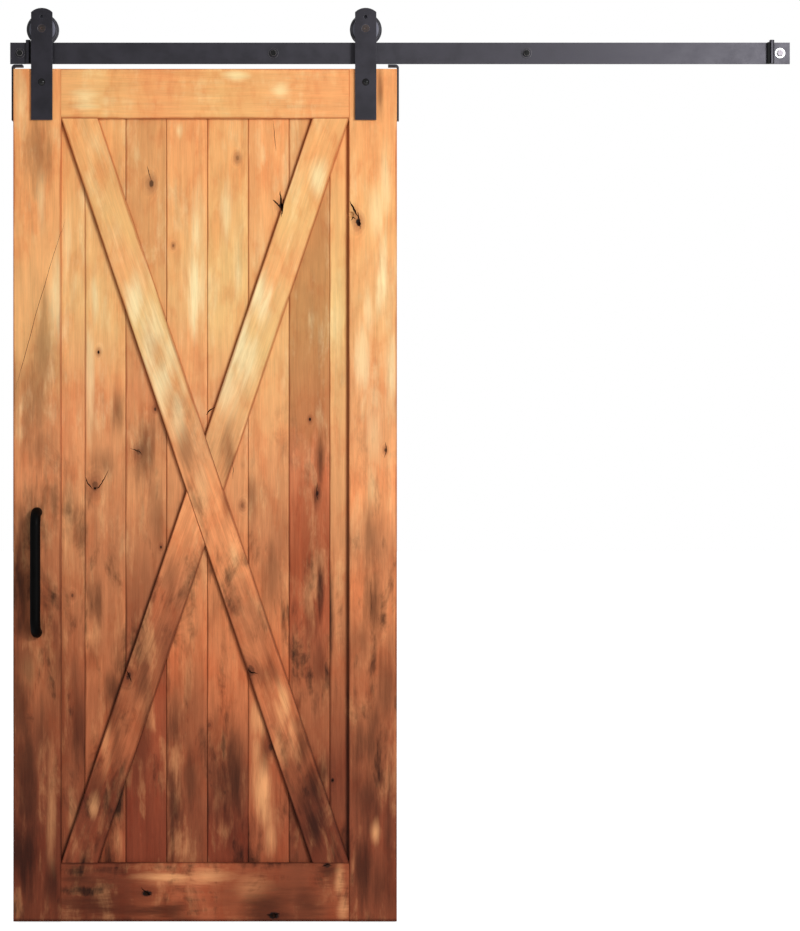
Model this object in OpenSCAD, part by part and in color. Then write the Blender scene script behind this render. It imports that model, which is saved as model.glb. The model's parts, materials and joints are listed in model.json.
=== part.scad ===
// Sliding barn door on a flat-bar track: a framed plank door with an X brace, hung from two grooved
// wheels that roll on top of the bar. All sizes are in millimetres.
// The origin is on the wall's face, at the middle of the bar's length and height.
// +X points to the right, +Z up, and the wall is the plane y = 0, with the door on its -Y side.

/* [Door] */
// Width of the whole door
door_w = 914.4; // [740:0.1:1100]
// Height of the whole door
door_h = 2032; // [1600:1:2440]
// Thickness of the stiles and rails
door_t = 44.45; // [38:0.05:56]
// Width of each upright frame board
stile_w = 114.3; // [95:0.1:140]
// Height of the frame's top board
top_rail_h = 118; // [95:1:160]
// Height of the frame's bottom board
bottom_rail_h = 139.7; // [100:0.1:220]
// Thickness of the panel's planks
plank_t = 19; // [15:0.5:23]
// Distance from one plank seam to the next
plank_pitch = 97.4; // [75:0.1:150]
// Face width of the narrow plank beside the left stile
first_plank_w = 55; // [30:1:90]
// Width of the crossed bracing boards
brace_w = 82.55; // [60:0.05:110]
// Chamfer along the edges of the frame and bracing boards
board_ease = 1.6; // [0.5:0.1:3]
// Chamfer along the planks' edges, which makes the V at each seam
plank_ease = 1.2; // [0.5:0.1:2]

/* [Door joints] */
// Depth of the groove that holds the planks
groove_depth = 10; // [6:0.5:14]
// Length of the tenons on the top and bottom boards
tenon_len = 32; // [20:1:34]
// Height left uncut above and below each tenon
tenon_shoulder = 18; // [12:1:25]
// Length of the tongue between two planks
tongue_len = 7; // [4:0.5:9]
// Thickness of the tongue between two planks
tongue_t = 6; // [4:0.5:7]
// Clearance on each face of a wood joint
joint_fit = 0.15; // [0.1:0.05:0.3]
// Gap left for the wood to move, at seams and at the bottom of grooves
wood_gap = 0.4; // [0.2:0.1:1]

/* [Track] */
// Length of the flat bar
track_len = 1862; // [1600:1:2400]
// Height of the flat bar
track_h = 50.8; // [40:0.1:65]
// Thickness of the flat bar
track_t = 6.35; // [5:0.05:10]
// Distance from one wall bolt to the next
bolt_pitch = 605; // [500:1:760]
// Length of the tubular spacers between the wall and the bar
spacer_len = 32; // [28:1:50]
// Outside diameter of the spacers
spacer_d = 24; // [18:0.5:28]
// Gap between the underside of the bar and the top of the door
track_gap = 13.9; // [10:0.1:30]
// Gap between the wall and the back of the door
wall_gap = 10; // [6:0.5:20]

/* [Wall bolts] */
// Diameter of the smooth shank, through the bar and the spacer
bolt_shank_d = 9.5; // [8:0.5:12]
// Diameter of the part in the wall
bolt_wall_d = 8.4; // [6:0.1:10]
// Length of the part in the wall, with its tip
bolt_wall_len = 60; // [40:1:90]
// Length of the pointed tip
bolt_tip_len = 8; // [4:1:12]
// Width of the hexagonal head across its flats
bolt_head_af = 14.3; // [12:0.1:19]
// Height of the head
bolt_head_h = 6; // [4:0.5:9]
// Outside diameter of the washers
washer_d = 24; // [20:0.5:30]
// Thickness of the washers
washer_t = 2; // [1:0.5:3]

/* [Stops] */
// Distance from the end of the bar to the stop's outer face
stop_inset = 38; // [34:0.5:80]
// Width of the stop along the bar
stop_w = 10.5; // [9:0.5:20]
// Thickness of the stop's front bar
stop_front_t = 9.5; // [7:0.5:10]
// Thickness of the stop's hook over the bar
stop_hook_t = 5.6; // [3:0.1:8]
// How far the hook reaches down behind the bar
stop_lip_h = 9; // [5:0.5:15]
// Thickness of the hook's lip behind the bar
stop_lip_t = 4; // [3:0.5:6]
// Chamfer along the stop's front edges
stop_ease = 3; // [1:0.5:4]
// Thickness of the rubber bumper
bumper_t = 6; // [4:0.5:12]
// Gap between the wheel's flange and the bumper with the door pushed home
rest_gap = 0.84; // [0.4:0.01:2]
// Height of the screws above and below the bar's middle
stop_screw_rise = 15; // [8:1:18]

/* [Hangers] */
// Distance from the door's left edge to the middle of the left strap
left_inset = 68.6; // [55:0.1:90]
// Distance from the door's right edge to the middle of the right strap
right_inset = 74.3; // [60:0.1:90]
// Width of the straps
strap_w = 50.8; // [40:0.1:56]
// Thickness of the straps
strap_t = 6.35; // [5:0.05:8]
// How far the straps reach down the door
strap_drop = 122.2; // [90:0.1:200]
// Height of the strap's top above the axle
strap_rise = 48.9; // [40:0.1:60]
// Height of the curve across the strap's top
strap_crown = 10; // [4:0.5:20]
// Diameter of the open hole near the strap's top
strap_hole_d = 8.5; // [5:0.1:10]
// Height of that hole above the axle
strap_hole_rise = 27.2; // [22:0.1:32]
// Distance from the top of the door down to its hanger bolt
hanger_bolt_drop = 32.4; // [25:0.1:60]

/* [Wheels] */
// Outside diameter of the wheels
wheel_d = 76.2; // [66:0.1:92]
// Width of the wheels
wheel_w = 22; // [20:0.5:24]
// Depth of the groove that rides on the bar
flange_h = 7.4; // [5:0.1:9]
// Side clearance between the groove and the bar
groove_side_gap = 0.8; // [0.4:0.1:1.5]
// How far each side of the groove leans outward
groove_lean = 1.6; // [0.5:0.1:2]
// Width of the bevel around each face
wheel_bevel = 3.6; // [2:0.1:5]
// Depth of that bevel
wheel_bevel_h = 3; // [1:0.1:3.5]
// Gap between the bottom of the groove and the top of the bar
roll_gap = 0.05; // [0.02:0.01:0.2]
// Outside diameter of the ball bearings
bearing_d = 30; // [28:0.5:36]
// Width of the ball bearings
bearing_w = 14; // [10:0.5:16]
// Diameter of the bearing balls
ball_d = 6; // [5:0.1:6]
// Diameter of the axle bolts
axle_d = 10; // [8:0.1:10]
// Diameter of the axle bolt's flush head
axle_head_d = 18; // [14:0.5:22]
// Outside diameter of the spacer between bearing and strap
axle_spacer_d = 14; // [12.5:0.5:15]
// Height of the nut behind the wheel
axle_nut_h = 7; // [5:0.5:9]

/* [Hanger bolts] */
// Diameter of the bolts through strap and door
hanger_bolt_d = 8; // [6:0.5:10]
// Diameter of their domed heads
hanger_head_d = 17; // [14:0.5:20]
// Height of their domed heads
hanger_head_h = 5; // [3:0.5:7]
// Width of their nuts across the flats
hanger_nut_af = 13; // [10:0.5:16]
// Height of their nuts
hanger_nut_h = 6; // [4:0.5:8]
// Outside diameter of their washers
hanger_washer_d = 20; // [17:0.5:22]
// Thickness of their washers
hanger_washer_t = 1.6; // [1:0.1:2.5]

/* [Anti-jump brackets] */
// Thickness of the bent plate
bracket_t = 4.8; // [3:0.1:6]
// Width of the plate, front to back
bracket_w = 25.4; // [20:0.1:32]
// How far the long leg reaches down, measured from the bar's underside
bracket_drop = 136; // [110:1:180]
// How far the short leg reaches in over the door
bracket_reach = 26; // [18:1:28]
// Gap between the short leg and the bar's underside
bracket_gap = 2.6; // [1.5:0.1:4]
// Outside radius of the bend
bracket_bend_r = 8; // [6.5:0.5:12]
// Diameter of the screws
bracket_screw_d = 4.5; // [3.5:0.5:6]
// Length of the screws in the wood
bracket_screw_len = 30; // [20:1:50]
// Diameter of the screws' countersunk heads
bracket_head_d = 9; // [8:0.5:12]
// Depth of the screws' countersunk heads
bracket_sink = 2.4; // [1.5:0.1:2.8]

/* [Handle] */
// Height of the handle from end to end
handle_len = 311; // [200:1:450]
// Diameter of the handle's bar
handle_d = 24.6; // [16:0.2:30]
// Distance from the door to the middle of the grip
handle_reach = 38; // [34:1:70]
// Distance from the top of the door down to the top of the handle
handle_drop = 1044.7; // [700:0.1:1200]
// Diameter of the bolts that hold the handle from behind
handle_bolt_d = 6; // [5:0.5:8]
// How far those bolts reach into the handle
handle_bolt_grip = 14; // [8:1:18]

/* [Hidden] */
$fn = 48;
bore_fit = 0.4; // radial clearance of a bolt in a plain hole
thread_fit = 0.1; // radial clearance that stands for a screw thread
press_fit = 0.02; // radial clearance of a pressed bearing
running_fit = 0.05; // radial clearance between bearing parts that turn
cut_over = 1; // how far a cutter runs past the face that it cuts
light_wood = [0.89, 0.64, 0.40];
deep_wood = [0.72, 0.45, 0.29];
dark_steel = [0.24, 0.24, 0.27];
black_steel = [0.06, 0.06, 0.07];
bright_steel = [0.82, 0.82, 0.84];
rubber_black = [0.05, 0.05, 0.05];
side_names = ["left", "right"];

// Depths, measured from the wall
track_back_y = -spacer_len;
track_front_y = track_back_y - track_t;
track_mid_y = track_back_y - track_t / 2;
door_back_y = -wall_gap;
door_mid_y = door_back_y - door_t / 2;
door_front_y = door_back_y - door_t;
strap_front_y = door_front_y - strap_t;

// Heights
track_top = track_h / 2;
track_bottom = -track_h / 2;
door_top = track_bottom - track_gap;
door_bottom = door_top - door_h;
wheel_r = wheel_d / 2;
groove_r = wheel_r - flange_h;
axle_z = track_top + roll_gap + groove_r;
hanger_bolt_z = door_top - hanger_bolt_drop;

// Places along the track. The wheel's flange meets the bumper at the height of the bar's top.
bumper_x = track_len / 2 - stop_inset - stop_w - bumper_t;
flange_reach = sqrt(pow(wheel_r, 2) - pow(axle_z - track_top, 2));
left_axle_x = -bumper_x + flange_reach + rest_gap;
door_left = left_axle_x - left_inset;
right_axle_x = door_left + door_w - right_inset;
axle_x = [left_axle_x, right_axle_x];
bolt_x = [for (i = [0 : 3]) (i - 1.5) * bolt_pitch];

// The panel and its planks, in the door's own frame, which starts at its lower left corner
panel_w = door_w - 2 * stile_w;
panel_h = door_h - top_rail_h - bottom_rail_h;
panel_centre = [door_w / 2, 0, bottom_rail_h + panel_h / 2];
plank_count = 1 + ceil((panel_w - first_plank_w) / plank_pitch);
groove_w = plank_t + 2 * joint_fit;
hidden_edge = groove_depth - wood_gap;

// The crossed boards run from corner to corner: each edge meets one corner of the panel
brace_t = (door_t - plank_t) / 2;
brace_angle = acos(brace_w / norm([panel_w, panel_h])) - atan2(panel_h, panel_w);

plank_names = [for (i = [1 : plank_count]) str("plank_", i)];
spacer_names = [for (i = [1 : 4]) str("track_spacer_", i)];
TRACK_NODES = concat(
    ["track_bar"],
    spacer_names,
    ["wall_bolts_dark", "wall_bolt_bright", "wall_washers_dark", "wall_washer_bright"],
    ["stop_left", "stop_right", "bumper_left", "bumper_right", "stop_screws"]
);
DOOR_NODES = concat(
    ["stile_left", "stile_right", "top_board", "bottom_board"],
    plank_names,
    ["brace_long", "brace_upper", "brace_lower"],
    ["strap_left", "strap_right", "axle_bolt_left", "axle_bolt_right"],
    ["axle_spacer_left", "axle_spacer_right", "axle_nut_left", "axle_nut_right"],
    ["bearing_inner_left", "bearing_inner_right"],
    ["hanger_bolts", "hanger_washers", "hanger_nuts"],
    ["bracket_left", "bracket_right", "bracket_screws", "handle", "handle_bolts"]
);
WHEEL_NODES = [
    for (side = side_names) for (piece = ["wheel_", "bearing_outer_", "bearing_balls_"]) str(piece, side)
];

// ---- Helpers ----

// Turns an upright shape so that its height runs from the wall outward, along -Y
module facing_out(y) {
    translate([0, y, 0])
        rotate([90, 0, 0])
            children();
}

// Places a shape at the lower left corner of the door, halfway through its thickness
module in_door() {
    translate([door_left, door_mid_y, door_bottom])
        children();
}

// Repeats a shape at both axles
module at_axles() {
    for (x = axle_x)
        translate([x, 0, 0])
            children();
}

// A low dome on a round base, with a hexagonal socket in it
module domed_head(d, h) {
    sphere_r = (pow(d / 2, 2) + pow(h, 2)) / (2 * h);
    difference() {
        intersection() {
            cylinder(h = h, d = d);
            translate([0, 0, h - sphere_r])
                sphere(r = sphere_r);
        }
        translate([0, 0, h / 2])
            cylinder(h = h, d = d * 0.36, $fn = 6);
    }
}

// A hexagon whose width across the flats is af
module hexagon(af) {
    circle(d = af / cos(30), $fn = 6);
}

// A washer, a ring or a plain tube
module tube(h, outer_d, inner_d) {
    difference() {
        cylinder(h = h, d = outer_d);
        translate([0, 0, -cut_over])
            cylinder(h = h + 2 * cut_over, d = inner_d);
    }
}

// The section of a board with chamfered edges, centred on the origin
module board_section(w, t, ease) {
    x = w / 2;
    y = t / 2;
    polygon([
        [-x + ease, -y], [x - ease, -y], [x, -y + ease], [x, y - ease],
        [x - ease, y], [-x + ease, y], [-x, y - ease], [-x, -y + ease]
    ]);
}

// ---- Track ----

module track_bar() {
    color(dark_steel)
        difference() {
            translate([-track_len / 2, track_front_y, track_bottom])
                cube([track_len, track_t, track_h]);
            for (x = bolt_x)
                translate([x, 0, 0])
                    facing_out(track_back_y + cut_over)
                        cylinder(h = track_t + 2 * cut_over, d = bolt_shank_d + 2 * bore_fit);
            at_stop_screws()
                stop_screw(bore_fit);
        }
}

module track_spacer(i) {
    color(dark_steel)
        translate([bolt_x[i - 1], 0, 0])
            facing_out(0)
                tube(spacer_len, spacer_d, bolt_shank_d + 2 * bore_fit);
}

// A hex-head lag bolt: tip and thread in the wall, then the shank, then the head on its washer
module wall_bolt(i) {
    chamfer_d = bolt_head_af / cos(30);
    translate([bolt_x[i], 0, 0]) {
        facing_out(bolt_wall_len)
            cylinder(h = bolt_tip_len, d1 = 1, d2 = bolt_wall_d);
        facing_out(bolt_wall_len - bolt_tip_len)
            cylinder(h = bolt_wall_len - bolt_tip_len, d = bolt_wall_d);
        facing_out(0)
            cylinder(h = spacer_len + track_t + washer_t, d = bolt_shank_d);
        facing_out(track_front_y - washer_t)
            intersection() {
                linear_extrude(bolt_head_h)
                    hexagon(bolt_head_af);
                cylinder(h = bolt_head_h, d1 = chamfer_d + bolt_head_h, d2 = bolt_head_af * 0.97);
            }
    }
}

module wall_washer(i) {
    translate([bolt_x[i], 0, 0])
        facing_out(track_front_y)
            tube(washer_t, washer_d, bolt_shank_d + 2 * bore_fit);
}

module wall_bolts_dark() {
    color(dark_steel)
        for (i = [0 : 2])
            wall_bolt(i);
}

module wall_bolt_bright() {
    color(bright_steel)
        wall_bolt(3);
}

module wall_washers_dark() {
    color(dark_steel)
        for (i = [0 : 2])
            wall_washer(i);
}

module wall_washer_bright() {
    color(bright_steel)
        wall_washer(3);
}

// ---- Stops ----

// Draws the right-hand stop's pieces, or mirrors them to the left end
module at_end(side) {
    mirror([side == "left" ? 1 : 0, 0, 0])
        translate([bumper_x, 0, 0])
            children();
}

// A countersunk screw from behind the bar into the stop's front bar, grown by fit
module stop_screw(fit) {
    facing_out(track_back_y)
        cylinder(h = 2.2, d1 = 8 + 2 * fit, d2 = 4 + 2 * fit);
    facing_out(track_back_y - 1)
        cylinder(h = track_t + 4, d = 4 + 2 * fit);
}

module at_stop_screws() {
    for (side = side_names)
        for (z = [-stop_screw_rise, stop_screw_rise])
            at_end(side)
                translate([bumper_t + stop_w / 2, 0, z])
                    children();
}

module stop_screws() {
    color(dark_steel)
        at_stop_screws()
            stop_screw(0);
}

// An upright bar with a bevelled front that hooks over the top of the track
module stop(side) {
    front_y = track_front_y - stop_front_t;
    hook_y = track_back_y + stop_lip_t;
    color(dark_steel)
        difference() {
            at_end(side)
                translate([bumper_t, 0, 0]) {
                    translate([0, 0, track_bottom])
                        linear_extrude(track_h + stop_hook_t)
                            polygon([
                                [0, track_front_y], [0, front_y + stop_ease], [stop_ease, front_y],
                                [stop_w - stop_ease, front_y], [stop_w, front_y + stop_ease],
                                [stop_w, track_front_y]
                            ]);
                    translate([0, track_front_y, track_top])
                        cube([stop_w, hook_y - track_front_y, stop_hook_t]);
                    translate([0, track_back_y, track_top - stop_lip_h])
                        cube([stop_w, stop_lip_t, stop_lip_h + stop_hook_t]);
                }
            at_stop_screws()
                stop_screw(thread_fit);
        }
}

module bumper(side) {
    color(rubber_black)
        at_end(side)
            translate([0, track_front_y - stop_front_t, track_bottom])
                cube([bumper_t, stop_front_t, track_h]);
}

// ---- Frame of the door ----

// One upright board, with a groove for the planks and a mortise for each tenon
module stile(side) {
    mortise_w = tenon_len + wood_gap;
    groove_low = bottom_rail_h - groove_depth;
    color(light_wood)
        difference() {
            in_door()
                mirror_in_door(side)
                    difference() {
                        translate([stile_w / 2, 0, 0])
                            linear_extrude(door_h)
                                board_section(stile_w, door_t, board_ease);
                        translate([stile_w - groove_depth, -groove_w / 2, groove_low])
                            cube([groove_depth + cut_over, groove_w, panel_h + 2 * groove_depth]);
                        for (span = [[0, bottom_rail_h], [door_h - top_rail_h, door_h]])
                            translate([stile_w - mortise_w, -groove_w / 2, span[0] + tenon_shoulder - joint_fit])
                                cube([
                                    mortise_w + cut_over,
                                    groove_w,
                                    span[1] - span[0] - 2 * tenon_shoulder + 2 * joint_fit
                                ]);
                    }
            hanger_bolt_holes();
            bracket_screw_set(thread_fit);
            handle_bolt_set(bore_fit);
        }
}

// Mirrors the left stile's shape to the right side of the door
module mirror_in_door(side) {
    translate([side == "left" ? 0 : door_w, 0, 0])
        mirror([side == "left" ? 0 : 1, 0, 0])
            children();
}

// A level board between the stiles, with a tenon at each end and a groove on its inner edge.
// It lies from z = 0 up to h, and groove_z is the height of the groove's lower face.
module level_board(h, groove_z) {
    translate([stile_w, 0, 0])
        difference() {
            translate([0, 0, h / 2])
                rotate([90, 0, 90])
                    linear_extrude(panel_w)
                        rotate(90)
                            board_section(h, door_t, board_ease);
            translate([-cut_over, -groove_w / 2, groove_z])
                cube([panel_w + 2 * cut_over, groove_w, groove_depth + cut_over]);
        }
    for (x = [stile_w - tenon_len, door_w - stile_w - cut_over])
        translate([x, -plank_t / 2, tenon_shoulder])
            cube([tenon_len + cut_over, plank_t, h - 2 * tenon_shoulder]);
}

module top_board() {
    color(light_wood)
        in_door()
            translate([0, 0, door_h - top_rail_h])
                level_board(top_rail_h, -cut_over);
}

module bottom_board() {
    color(deep_wood)
        in_door()
            level_board(bottom_rail_h, bottom_rail_h - groove_depth);
}

// ---- Planks ----

// One plank of the panel. Its tongue is on its right edge and its groove on its left edge.
// The outer edges of the first and last planks are plain and stand in the stiles' grooves.
module plank(i) {
    first = i == 1;
    last = i == plank_count;
    seam_left = stile_w + first_plank_w + (i - 2) * plank_pitch;
    seam_right = stile_w + first_plank_w + (i - 1) * plank_pitch;
    x0 = first ? stile_w - hidden_edge : seam_left + wood_gap / 2;
    x1 = last ? door_w - stile_w + hidden_edge : seam_right - wood_gap / 2;
    y = plank_t / 2;
    tongue_y = tongue_t / 2;
    slot_y = tongue_y + joint_fit;
    slot_len = tongue_len + wood_gap;
    slot = [[x0, -slot_y], [x0 + slot_len, -slot_y], [x0 + slot_len, slot_y], [x0, slot_y]];
    tongue = [[x1, tongue_y], [x1 + tongue_len, tongue_y], [x1 + tongue_len, -tongue_y], [x1, -tongue_y]];
    color(i % 2 == 0 ? light_wood : deep_wood)
        in_door()
            translate([0, 0, bottom_rail_h - hidden_edge])
                linear_extrude(panel_h + 2 * hidden_edge)
                    polygon(concat(
                        [[x0 + plank_ease, -y], [x0, -y + plank_ease]],
                        first ? [] : slot,
                        [[x0, y - plank_ease], [x0 + plank_ease, y]],
                        [[x1 - plank_ease, y], [x1, y - plank_ease]],
                        last ? [] : tongue,
                        [[x1, -y + plank_ease], [x1 - plank_ease, -y]]
                    ));
}

// ---- Bracing boards ----

// A long sloping board in the front recess of the panel, widened on each side by extra
module sloping_board(angle, extra) {
    translate(panel_centre)
        rotate([0, angle, 0])
            translate([0, -(plank_t + brace_t) / 2, -panel_h])
                linear_extrude(2 * panel_h)
                    board_section(brace_w + 2 * extra, brace_t, extra > 0 ? 0.01 : board_ease);
}

// The part of the front recess between two shares of its height
module panel_recess(low, high) {
    inner_w = panel_w - 2 * wood_gap;
    inner_h = panel_h - 2 * wood_gap;
    translate([stile_w + wood_gap, -door_t / 2, bottom_rail_h + wood_gap + low * inner_h])
        cube([inner_w, brace_t, (high - low) * inner_h]);
}

module brace_long() {
    color(light_wood)
        in_door()
            intersection() {
                sloping_board(-brace_angle, 0);
                panel_recess(0, 1);
            }
}

// Half of the second board, cut to fit against the long one
module brace_half(low, high) {
    color(light_wood)
        in_door()
            difference() {
                intersection() {
                    sloping_board(brace_angle, 0);
                    panel_recess(low, high);
                }
                translate([0, -cut_over, 0])
                    sloping_board(-brace_angle, wood_gap);
                translate([0, cut_over, 0])
                    sloping_board(-brace_angle, wood_gap);
            }
}

// ---- Hangers ----

// A flat strap with a shallow arc across its top. It bears on the front of the door.
module strap(x) {
    crown_r = (pow(strap_w / 2, 2) + pow(strap_crown, 2)) / (2 * strap_crown);
    top = axle_z + strap_rise;
    bottom = door_top - strap_drop;
    color(dark_steel)
        translate([x, 0, 0])
            facing_out(door_front_y)
                difference() {
                    linear_extrude(strap_t)
                        difference() {
                            intersection() {
                                translate([-strap_w / 2, bottom])
                                    square([strap_w, top - bottom]);
                                union() {
                                    translate([0, top - crown_r])
                                        circle(r = crown_r, $fn = 96);
                                    translate([-strap_w, bottom])
                                        square([2 * strap_w, top - strap_crown - bottom]);
                                }
                            }
                            translate([0, axle_z + strap_hole_rise])
                                circle(d = strap_hole_d);
                            translate([0, hanger_bolt_z])
                                circle(d = hanger_bolt_d + 2 * bore_fit);
                        }
                    translate([0, axle_z, 0])
                        axle_shape(bore_fit);
                }
}

// The axle's shank and flush head in the strap, grown by fit
module axle_shape(fit) {
    head_h = (axle_head_d - axle_d) / 2;
    translate([0, 0, -cut_over])
        cylinder(h = strap_t + cut_over - head_h / 2, d = axle_d + 2 * fit);
    translate([0, 0, strap_t - head_h])
        cylinder(h = head_h, d1 = axle_d + 2 * fit, d2 = axle_head_d + 2 * fit);
}

bearing_front_y = track_mid_y - bearing_w / 2;
bearing_back_y = track_mid_y + bearing_w / 2;
axle_back_y = bearing_back_y + axle_nut_h + 2;

module axle_bolt(x) {
    color(black_steel)
        translate([x, 0, axle_z]) {
            facing_out(door_front_y)
                difference() {
                    axle_shape(0);
                    translate([0, 0, strap_t - 2])
                        cylinder(h = 2 + cut_over, d = axle_d * 0.5, $fn = 6);
                }
            facing_out(axle_back_y)
                cylinder(h = axle_back_y - door_front_y, d = axle_d);
        }
}

module axle_spacer(x) {
    color(dark_steel)
        translate([x, 0, axle_z])
            facing_out(bearing_front_y)
                tube(bearing_front_y - door_front_y, axle_spacer_d, axle_d + 2 * thread_fit);
}

module axle_nut(x) {
    color(dark_steel)
        translate([x, 0, axle_z])
            facing_out(bearing_back_y + axle_nut_h)
                difference() {
                    linear_extrude(axle_nut_h)
                        hexagon(axle_d * 1.45);
                    translate([0, 0, -cut_over])
                        cylinder(h = axle_nut_h + 2 * cut_over, d = axle_d + 2 * thread_fit);
                }
}

module hanger_bolts() {
    nut_y = door_back_y;
    color(black_steel)
        at_axles()
            translate([0, 0, hanger_bolt_z]) {
                facing_out(strap_front_y)
                    domed_head(hanger_head_d, hanger_head_h);
                facing_out(nut_y)
                    cylinder(h = nut_y - strap_front_y, d = hanger_bolt_d);
            }
}

// The hole through the door for each hanger bolt, with a round recess for its nut behind
module hanger_bolt_holes() {
    recess = hanger_nut_h + hanger_washer_t;
    at_axles()
        translate([0, 0, hanger_bolt_z]) {
            facing_out(door_back_y + cut_over)
                cylinder(h = door_t + 2 * cut_over, d = hanger_bolt_d + 2 * bore_fit);
            facing_out(door_back_y + cut_over)
                cylinder(h = recess + cut_over, d = hanger_washer_d + 2 * bore_fit);
        }
}

module hanger_washers() {
    color(dark_steel)
        at_axles()
            translate([0, 0, hanger_bolt_z])
                facing_out(door_back_y - hanger_nut_h)
                    tube(hanger_washer_t, hanger_washer_d, hanger_bolt_d + 2 * bore_fit);
}

module hanger_nuts() {
    color(dark_steel)
        at_axles()
            translate([0, 0, hanger_bolt_z])
                facing_out(door_back_y)
                    difference() {
                        linear_extrude(hanger_nut_h)
                            hexagon(hanger_nut_af);
                        translate([0, 0, -cut_over])
                            cylinder(h = hanger_nut_h + 2 * cut_over, d = hanger_bolt_d + 2 * thread_fit);
                    }
}

// ---- Wheels ----

// The wheel's outline is turned about its axle: a V-sided groove between two bevelled faces
module wheel(x) {
    face = wheel_w / 2;
    groove = track_t / 2 + groove_side_gap;
    color(dark_steel)
        translate([x, track_mid_y, axle_z])
            rotate([90, 0, 0])
                rotate_extrude($fn = 128)
                    polygon([
                        [bearing_d / 2 + press_fit, -face], [wheel_r - wheel_bevel, -face],
                        [wheel_r, -face + wheel_bevel_h], [wheel_r, -groove - groove_lean],
                        [groove_r, -groove], [groove_r, groove],
                        [wheel_r, groove + groove_lean], [wheel_r, face - wheel_bevel_h],
                        [wheel_r - wheel_bevel, face], [bearing_d / 2 + press_fit, face]
                    ]);
}

// Bearing sizes: the balls run halfway between the bores of the two rings
inner_ring_r = bearing_d / 2 - 7;
outer_ring_r = bearing_d / 2 - 3;
ball_track_r = (inner_ring_r + outer_ring_r) / 2;
shield_t = 0.8;

module ball_groove() {
    rotate_extrude()
        translate([ball_track_r, 0])
            circle(d = ball_d + 2 * running_fit);
}

// The outer ring carries two thin shields that run close to the inner ring
module bearing_outer(x) {
    color(bright_steel)
        translate([x, track_mid_y, axle_z])
            rotate([90, 0, 0])
                difference() {
                    translate([0, 0, -bearing_w / 2])
                        tube(bearing_w, bearing_d, 2 * (inner_ring_r + running_fit));
                    translate([0, 0, shield_t - bearing_w / 2])
                        cylinder(h = bearing_w - 2 * shield_t, r = outer_ring_r);
                    ball_groove();
                }
}

module bearing_inner(x) {
    color(bright_steel)
        translate([x, track_mid_y, axle_z])
            rotate([90, 0, 0])
                difference() {
                    translate([0, 0, -bearing_w / 2])
                        tube(bearing_w, 2 * inner_ring_r, axle_d + 2 * thread_fit);
                    ball_groove();
                }
}

module bearing_balls(x) {
    ball_count = floor(360 / (2 * asin(ball_d / 2 / ball_track_r)) - 0.5);
    color(bright_steel)
        translate([x, track_mid_y, axle_z])
            for (i = [0 : ball_count - 1])
                rotate([0, i * 360 / ball_count, 0])
                    translate([ball_track_r, 0, 0])
                        sphere(d = ball_d);
}

// ---- Anti-jump brackets ----

// A bent plate on the door's edge. Its short leg lies just under the bar and keeps the wheels on it.
module bracket(side) {
    top = track_bottom - bracket_gap;
    inner_r = bracket_bend_r - bracket_t;
    color(dark_steel)
        difference() {
            mirror_at_edge(side)
                translate([-bracket_t, 0, top])
                    facing_out(track_mid_y + bracket_w / 2)
                        linear_extrude(bracket_w) {
                            translate([0, -bracket_drop + bracket_gap])
                                square([bracket_t, bracket_drop - bracket_gap - bracket_bend_r]);
                            translate([bracket_bend_r, -bracket_t])
                                square([bracket_reach - bracket_bend_r, bracket_t]);
                            difference() {
                                intersection() {
                                    translate([bracket_bend_r, -bracket_bend_r])
                                        circle(r = bracket_bend_r);
                                    translate([0, -bracket_bend_r])
                                        square(bracket_bend_r);
                                }
                                translate([bracket_bend_r, -bracket_bend_r])
                                    circle(r = inner_r);
                            }
                        }
            bracket_screw_set(bore_fit);
        }
}

// Draws a shape with x = 0 on the door's left edge, or mirrored with x = 0 on its right edge
module mirror_at_edge(side) {
    translate([side == "left" ? door_left : door_left + door_w, 0, 0])
        mirror([side == "left" ? 0 : 1, 0, 0])
            children();
}

// Repeats a shape at the four bracket screws, on the brackets' outer faces and pointing into the door
module at_bracket_screws() {
    leg = bracket_drop - track_gap;
    for (side = side_names)
        for (drop = [leg * 0.22, leg * 0.8])
            mirror_at_edge(side)
                translate([-bracket_t, track_mid_y, door_top - drop])
                    rotate([0, 90, 0])
                        children();
}

// All four bracket screws with their countersunk heads, grown by fit
module bracket_screw_set(fit) {
    at_bracket_screws() {
        cylinder(h = bracket_t + bracket_screw_len + fit, d = bracket_screw_d + 2 * fit);
        cylinder(h = bracket_sink, d1 = bracket_head_d + 2 * fit, d2 = bracket_screw_d + 2 * fit);
    }
}

module bracket_screws() {
    color(dark_steel)
        difference() {
            bracket_screw_set(0);
            at_bracket_screws()
                translate([0, 0, -cut_over])
                    cylinder(h = cut_over + bracket_sink * 0.8, d = bracket_screw_d * 0.7, $fn = 6);
        }
}

// ---- Handle ----

// The radius of the bends is that of their centre line
bend_r = handle_reach - handle_d / 4;
handle_x = door_left + stile_w / 2;
handle_top = door_top - handle_drop;
leg_z = [handle_top - handle_d / 2, handle_top - handle_len + handle_d / 2];

// A round bar bent into a D, with its legs square to the door
module handle() {
    leg_len = handle_reach - bend_r;
    grip_y = door_front_y - handle_reach;
    color(black_steel)
        difference() {
            translate([handle_x, 0, 0]) {
                for (z = leg_z)
                    translate([0, 0, z])
                        facing_out(door_front_y)
                            cylinder(h = leg_len, d = handle_d);
                translate([0, door_front_y - leg_len, leg_z[0] - bend_r])
                    handle_bend(0);
                translate([0, door_front_y - leg_len, leg_z[1] + bend_r])
                    handle_bend(1);
                translate([0, grip_y, leg_z[1] + bend_r])
                    cylinder(h = leg_z[0] - leg_z[1] - 2 * bend_r, d = handle_d);
            }
            handle_bolt_set(thread_fit);
        }
}

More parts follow.
